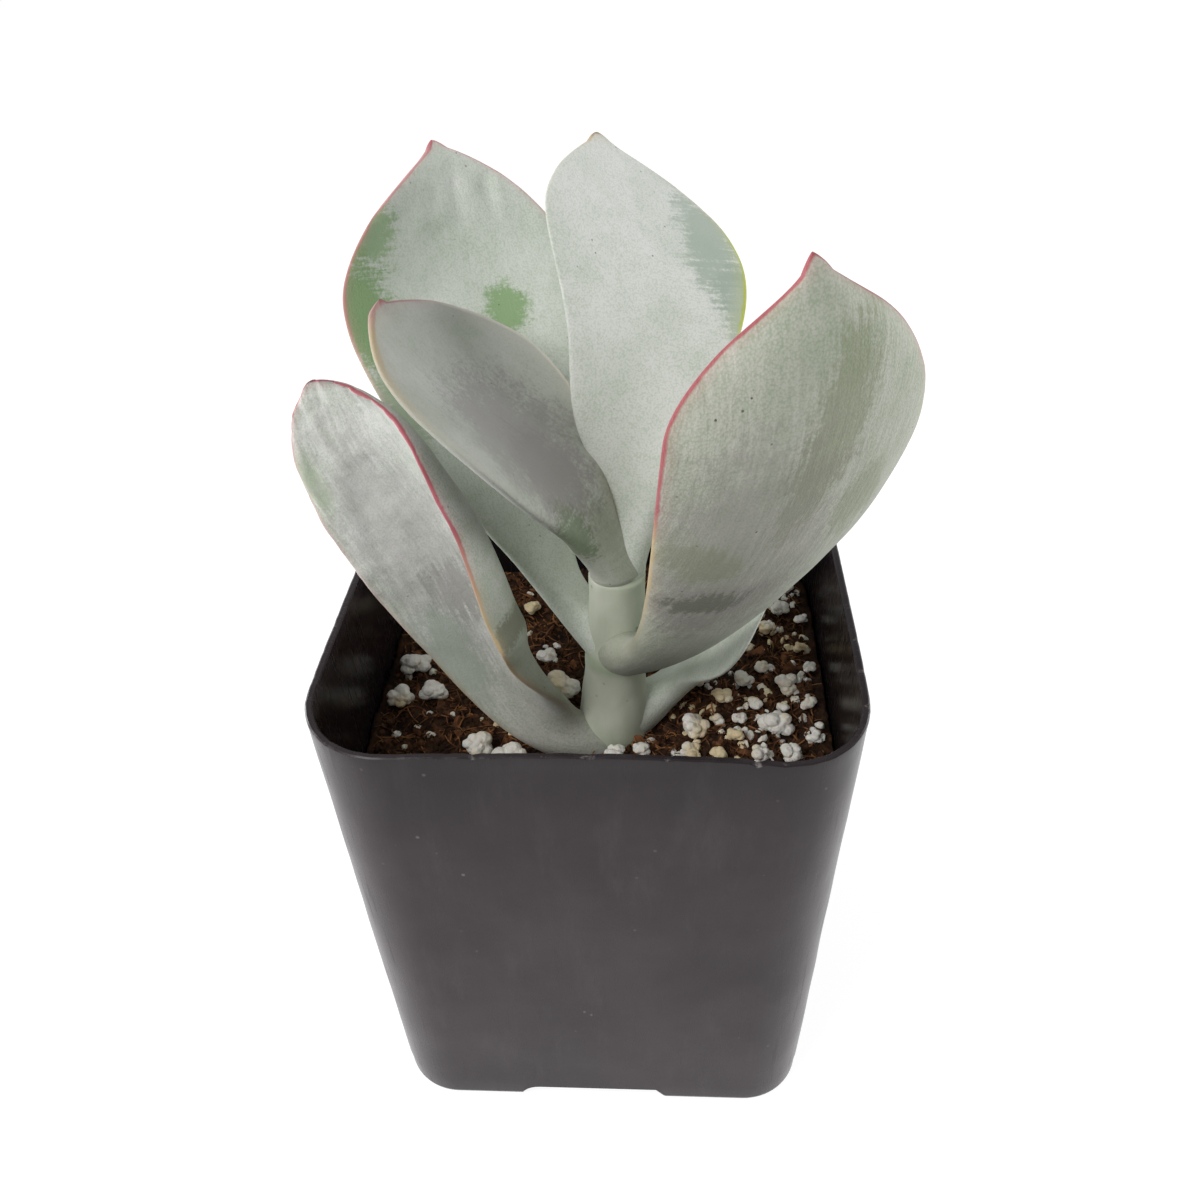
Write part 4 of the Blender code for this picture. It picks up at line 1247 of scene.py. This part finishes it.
def strew_fibres():
    web = Strewing("fibres", Length=2.8 * MM, Thickness=0.07 * MM, Density=760000.0)
    length = web.size("Length")
    start = web.node("ShaderNodeCombineXYZ", None, length * -0.5, 0.0, 0.0)
    bow = web.node("ShaderNodeCombineXYZ", None, 0.0, length * 0.14, length * 0.1)
    far = web.node("ShaderNodeCombineXYZ", None, length * 0.5, 0.0, length * 0.1)
    strand = web.node(
        "GeometryNodeCurveQuadraticBezier", None, Resolution=5, Start=start, Middle=bow, End=far
    )
    profile = web.node("GeometryNodeCurvePrimitiveCircle", None, Resolution=4, Radius=web.size("Thickness"))
    fibre = web.node("GeometryNodeCurveToMesh", None, strand, profile, Fill_Caps=True)
    finish = bit_finish("coir_fibre", picked(70, 42, 26), picked(156, 108, 68), 0.8)
    turns = ((-0.5, -0.5, 0.0), (0.5, 0.5, 6.28))
    scales = ((0.25, 0.3, 0.5), (1.1, 1.8, 1.6))
    web.lay("soil_fibres", fibre, 14, web.size("Density"), turns, scales, finish)


def strew_chips():
    web = Strewing("chips", Length=1.9 * MM, Density=70000.0)
    length = web.size("Length")
    block = web.node("ShaderNodeCombineXYZ", None, length, length * 0.45, length * 0.22)
    plate = web.node(
        "GeometryNodeMeshCube", None, Size=block, Vertices_X=4, Vertices_Y=3, Vertices_Z=2, out="Mesh"
    )
    finish = bit_finish("bark_chip", picked(58, 36, 24), picked(128, 84, 54), 0.85)
    turns = ((-0.7, -0.7, 0.0), (0.7, 0.7, 6.28))
    scales = ((0.5, 0.5, 0.5), (1.3, 1.4, 1.3))
    chip = shaken(web, plate, 900.0, length * 0.6)
    web.lay("bark_chips", chip, 24, web.size("Density"), turns, scales, finish)


def perlite_finish():
    finish = Finish(
        "perlite_popcorn", 0.85,
        Specular_IOR_Level=0.25, Subsurface_Weight=0.1, Subsurface_Scale=0.6 * MM,
    )
    place = finish.place()
    tint = finish.grain(place, 130.0, 1.0)
    pits = finish.cells(place, 1900.0)
    fine = finish.grain(place, 2400.0, 4.0, 0.7)
    colour = finish.mix(tint.smooth(0.46, 0.62), picked(232, 229, 222), picked(228, 210, 172))
    # Painted shade: the pits are darkened, as shade falls into their hollows
    colour = finish.mix(pits.smooth(0.24, 0.02) * 0.35, colour, picked(168, 150, 122))
    stain = finish.grain(place, 620.0, 3.0, 0.6).smooth(0.58, 0.72)
    colour = finish.mix(stain * 0.4, colour, picked(150, 116, 80))
    return finish.set(Base_Color=colour, Normal=finish.bump(fine + pits * 1.2, 0.6, 0.2 * MM))


PERLITE_FINISH = perlite_finish()


def strew_perlite():
    web = Strewing("perlite_crumbs", Radius=0.55 * MM, Density=380000.0, Heap=float(POT_AXIS.x + 12 * MM))
    across = web.node("ShaderNodeSeparateXYZ", None, web.node("GeometryNodeInputPosition"))
    nearness = ((across - web.size("Heap")) / (9 * MM)).smooth(-1.0, 0.4) * 0.9 + 0.1
    density = web.size("Density") * nearness
    scales = ((0.5, 0.5, 0.5), (1.35, 1.35, 1.35))
    crumb = dented_ball(web, web.size("Radius"), 0.7, 1.7)
    web.lay("perlite_crumbs", crumb, 34, density, ANY_TURN, scales, PERLITE_FINISH, "perlite")


strew_crumbs()
strew_fibres()
strew_chips()
strew_perlite()


# %% [markdown]
# ## Perlite grains
# Perlite is volcanic glass that popped like corn, so each big grain is a cluster of bubbles. An icosphere takes
# that shape when its points are pushed out toward a few random lobes, and a little noise chalks its skin. Each
# grain takes its place and size from its CAD solid, and sinks a little into the mix.

# %% Perlite grains
GRAIN_GROWTH = 1.18
GRAIN_SINKS = 0.16


def popcorn(name, low, high, seed):
    dice = random.Random(seed)
    middle = (Vector(low) + Vector(high)) / 2
    size = max(high[0] - low[0], high[1] - low[1]) / 2 * GRAIN_GROWTH
    flat = (high[2] - low[2]) / 2 * GRAIN_GROWTH
    lobes = []
    for _ in range(dice.randint(7, 12)):
        z = dice.uniform(-0.5, 1.0)
        turn = dice.uniform(0, 2 * math.pi)
        ring = math.sqrt(1 - z * z)
        lobes.append((Vector((ring * math.cos(turn), ring * math.sin(turn), z)), dice.uniform(0.3, 0.52)))
    bm = bmesh.new()
    bmesh.ops.create_icosphere(bm, subdivisions=5 if size > 1.1 * MM else 4, radius=1.0)
    shift = Vector((seed * 1.7, seed * 0.9, 0.0))
    for vert in bm.verts:
        way = vert.co.normalized()
        reach = 0.62
        for lobe, swell in lobes:
            # Where the ray along this direction leaves the lobe's ball, which sits 0.6 out from the middle
            beside = (way - lobe * way.dot(lobe)).length * 0.6
            if way.dot(lobe) > 0 and beside < swell:
                reach = max(reach, way.dot(lobe) * 0.6 + math.sqrt(swell**2 - beside**2))
        reach += 0.05 * noise.fractal(way * 3.5 + shift, 0.8, 2.0, 3)
        vert.co = way * reach
    bmesh.ops.smooth_vert(bm, verts=bm.verts, factor=0.5, use_axis_x=True, use_axis_y=True, use_axis_z=True)
    middle.z -= GRAIN_SINKS * flat * 2
    for vert in bm.verts:
        vert.co = middle + Vector((vert.co.x * size, vert.co.y * size, vert.co.z * max(flat, size * 0.72)))
    mesh = bpy.data.meshes.new(name)
    bm.to_mesh(mesh)
    bm.free()
    mesh.shade_smooth()
    return mesh


grains = sorted(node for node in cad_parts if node.startswith("perlite_"))
for number, node in enumerate(grains, 1):
    low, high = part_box(node)
    piece(f"{node}_grain", popcorn(f"{node}_grain", low, high, number), PERLITE_FINISH, "perlite", node)
print(len(grains), "perlite grains")
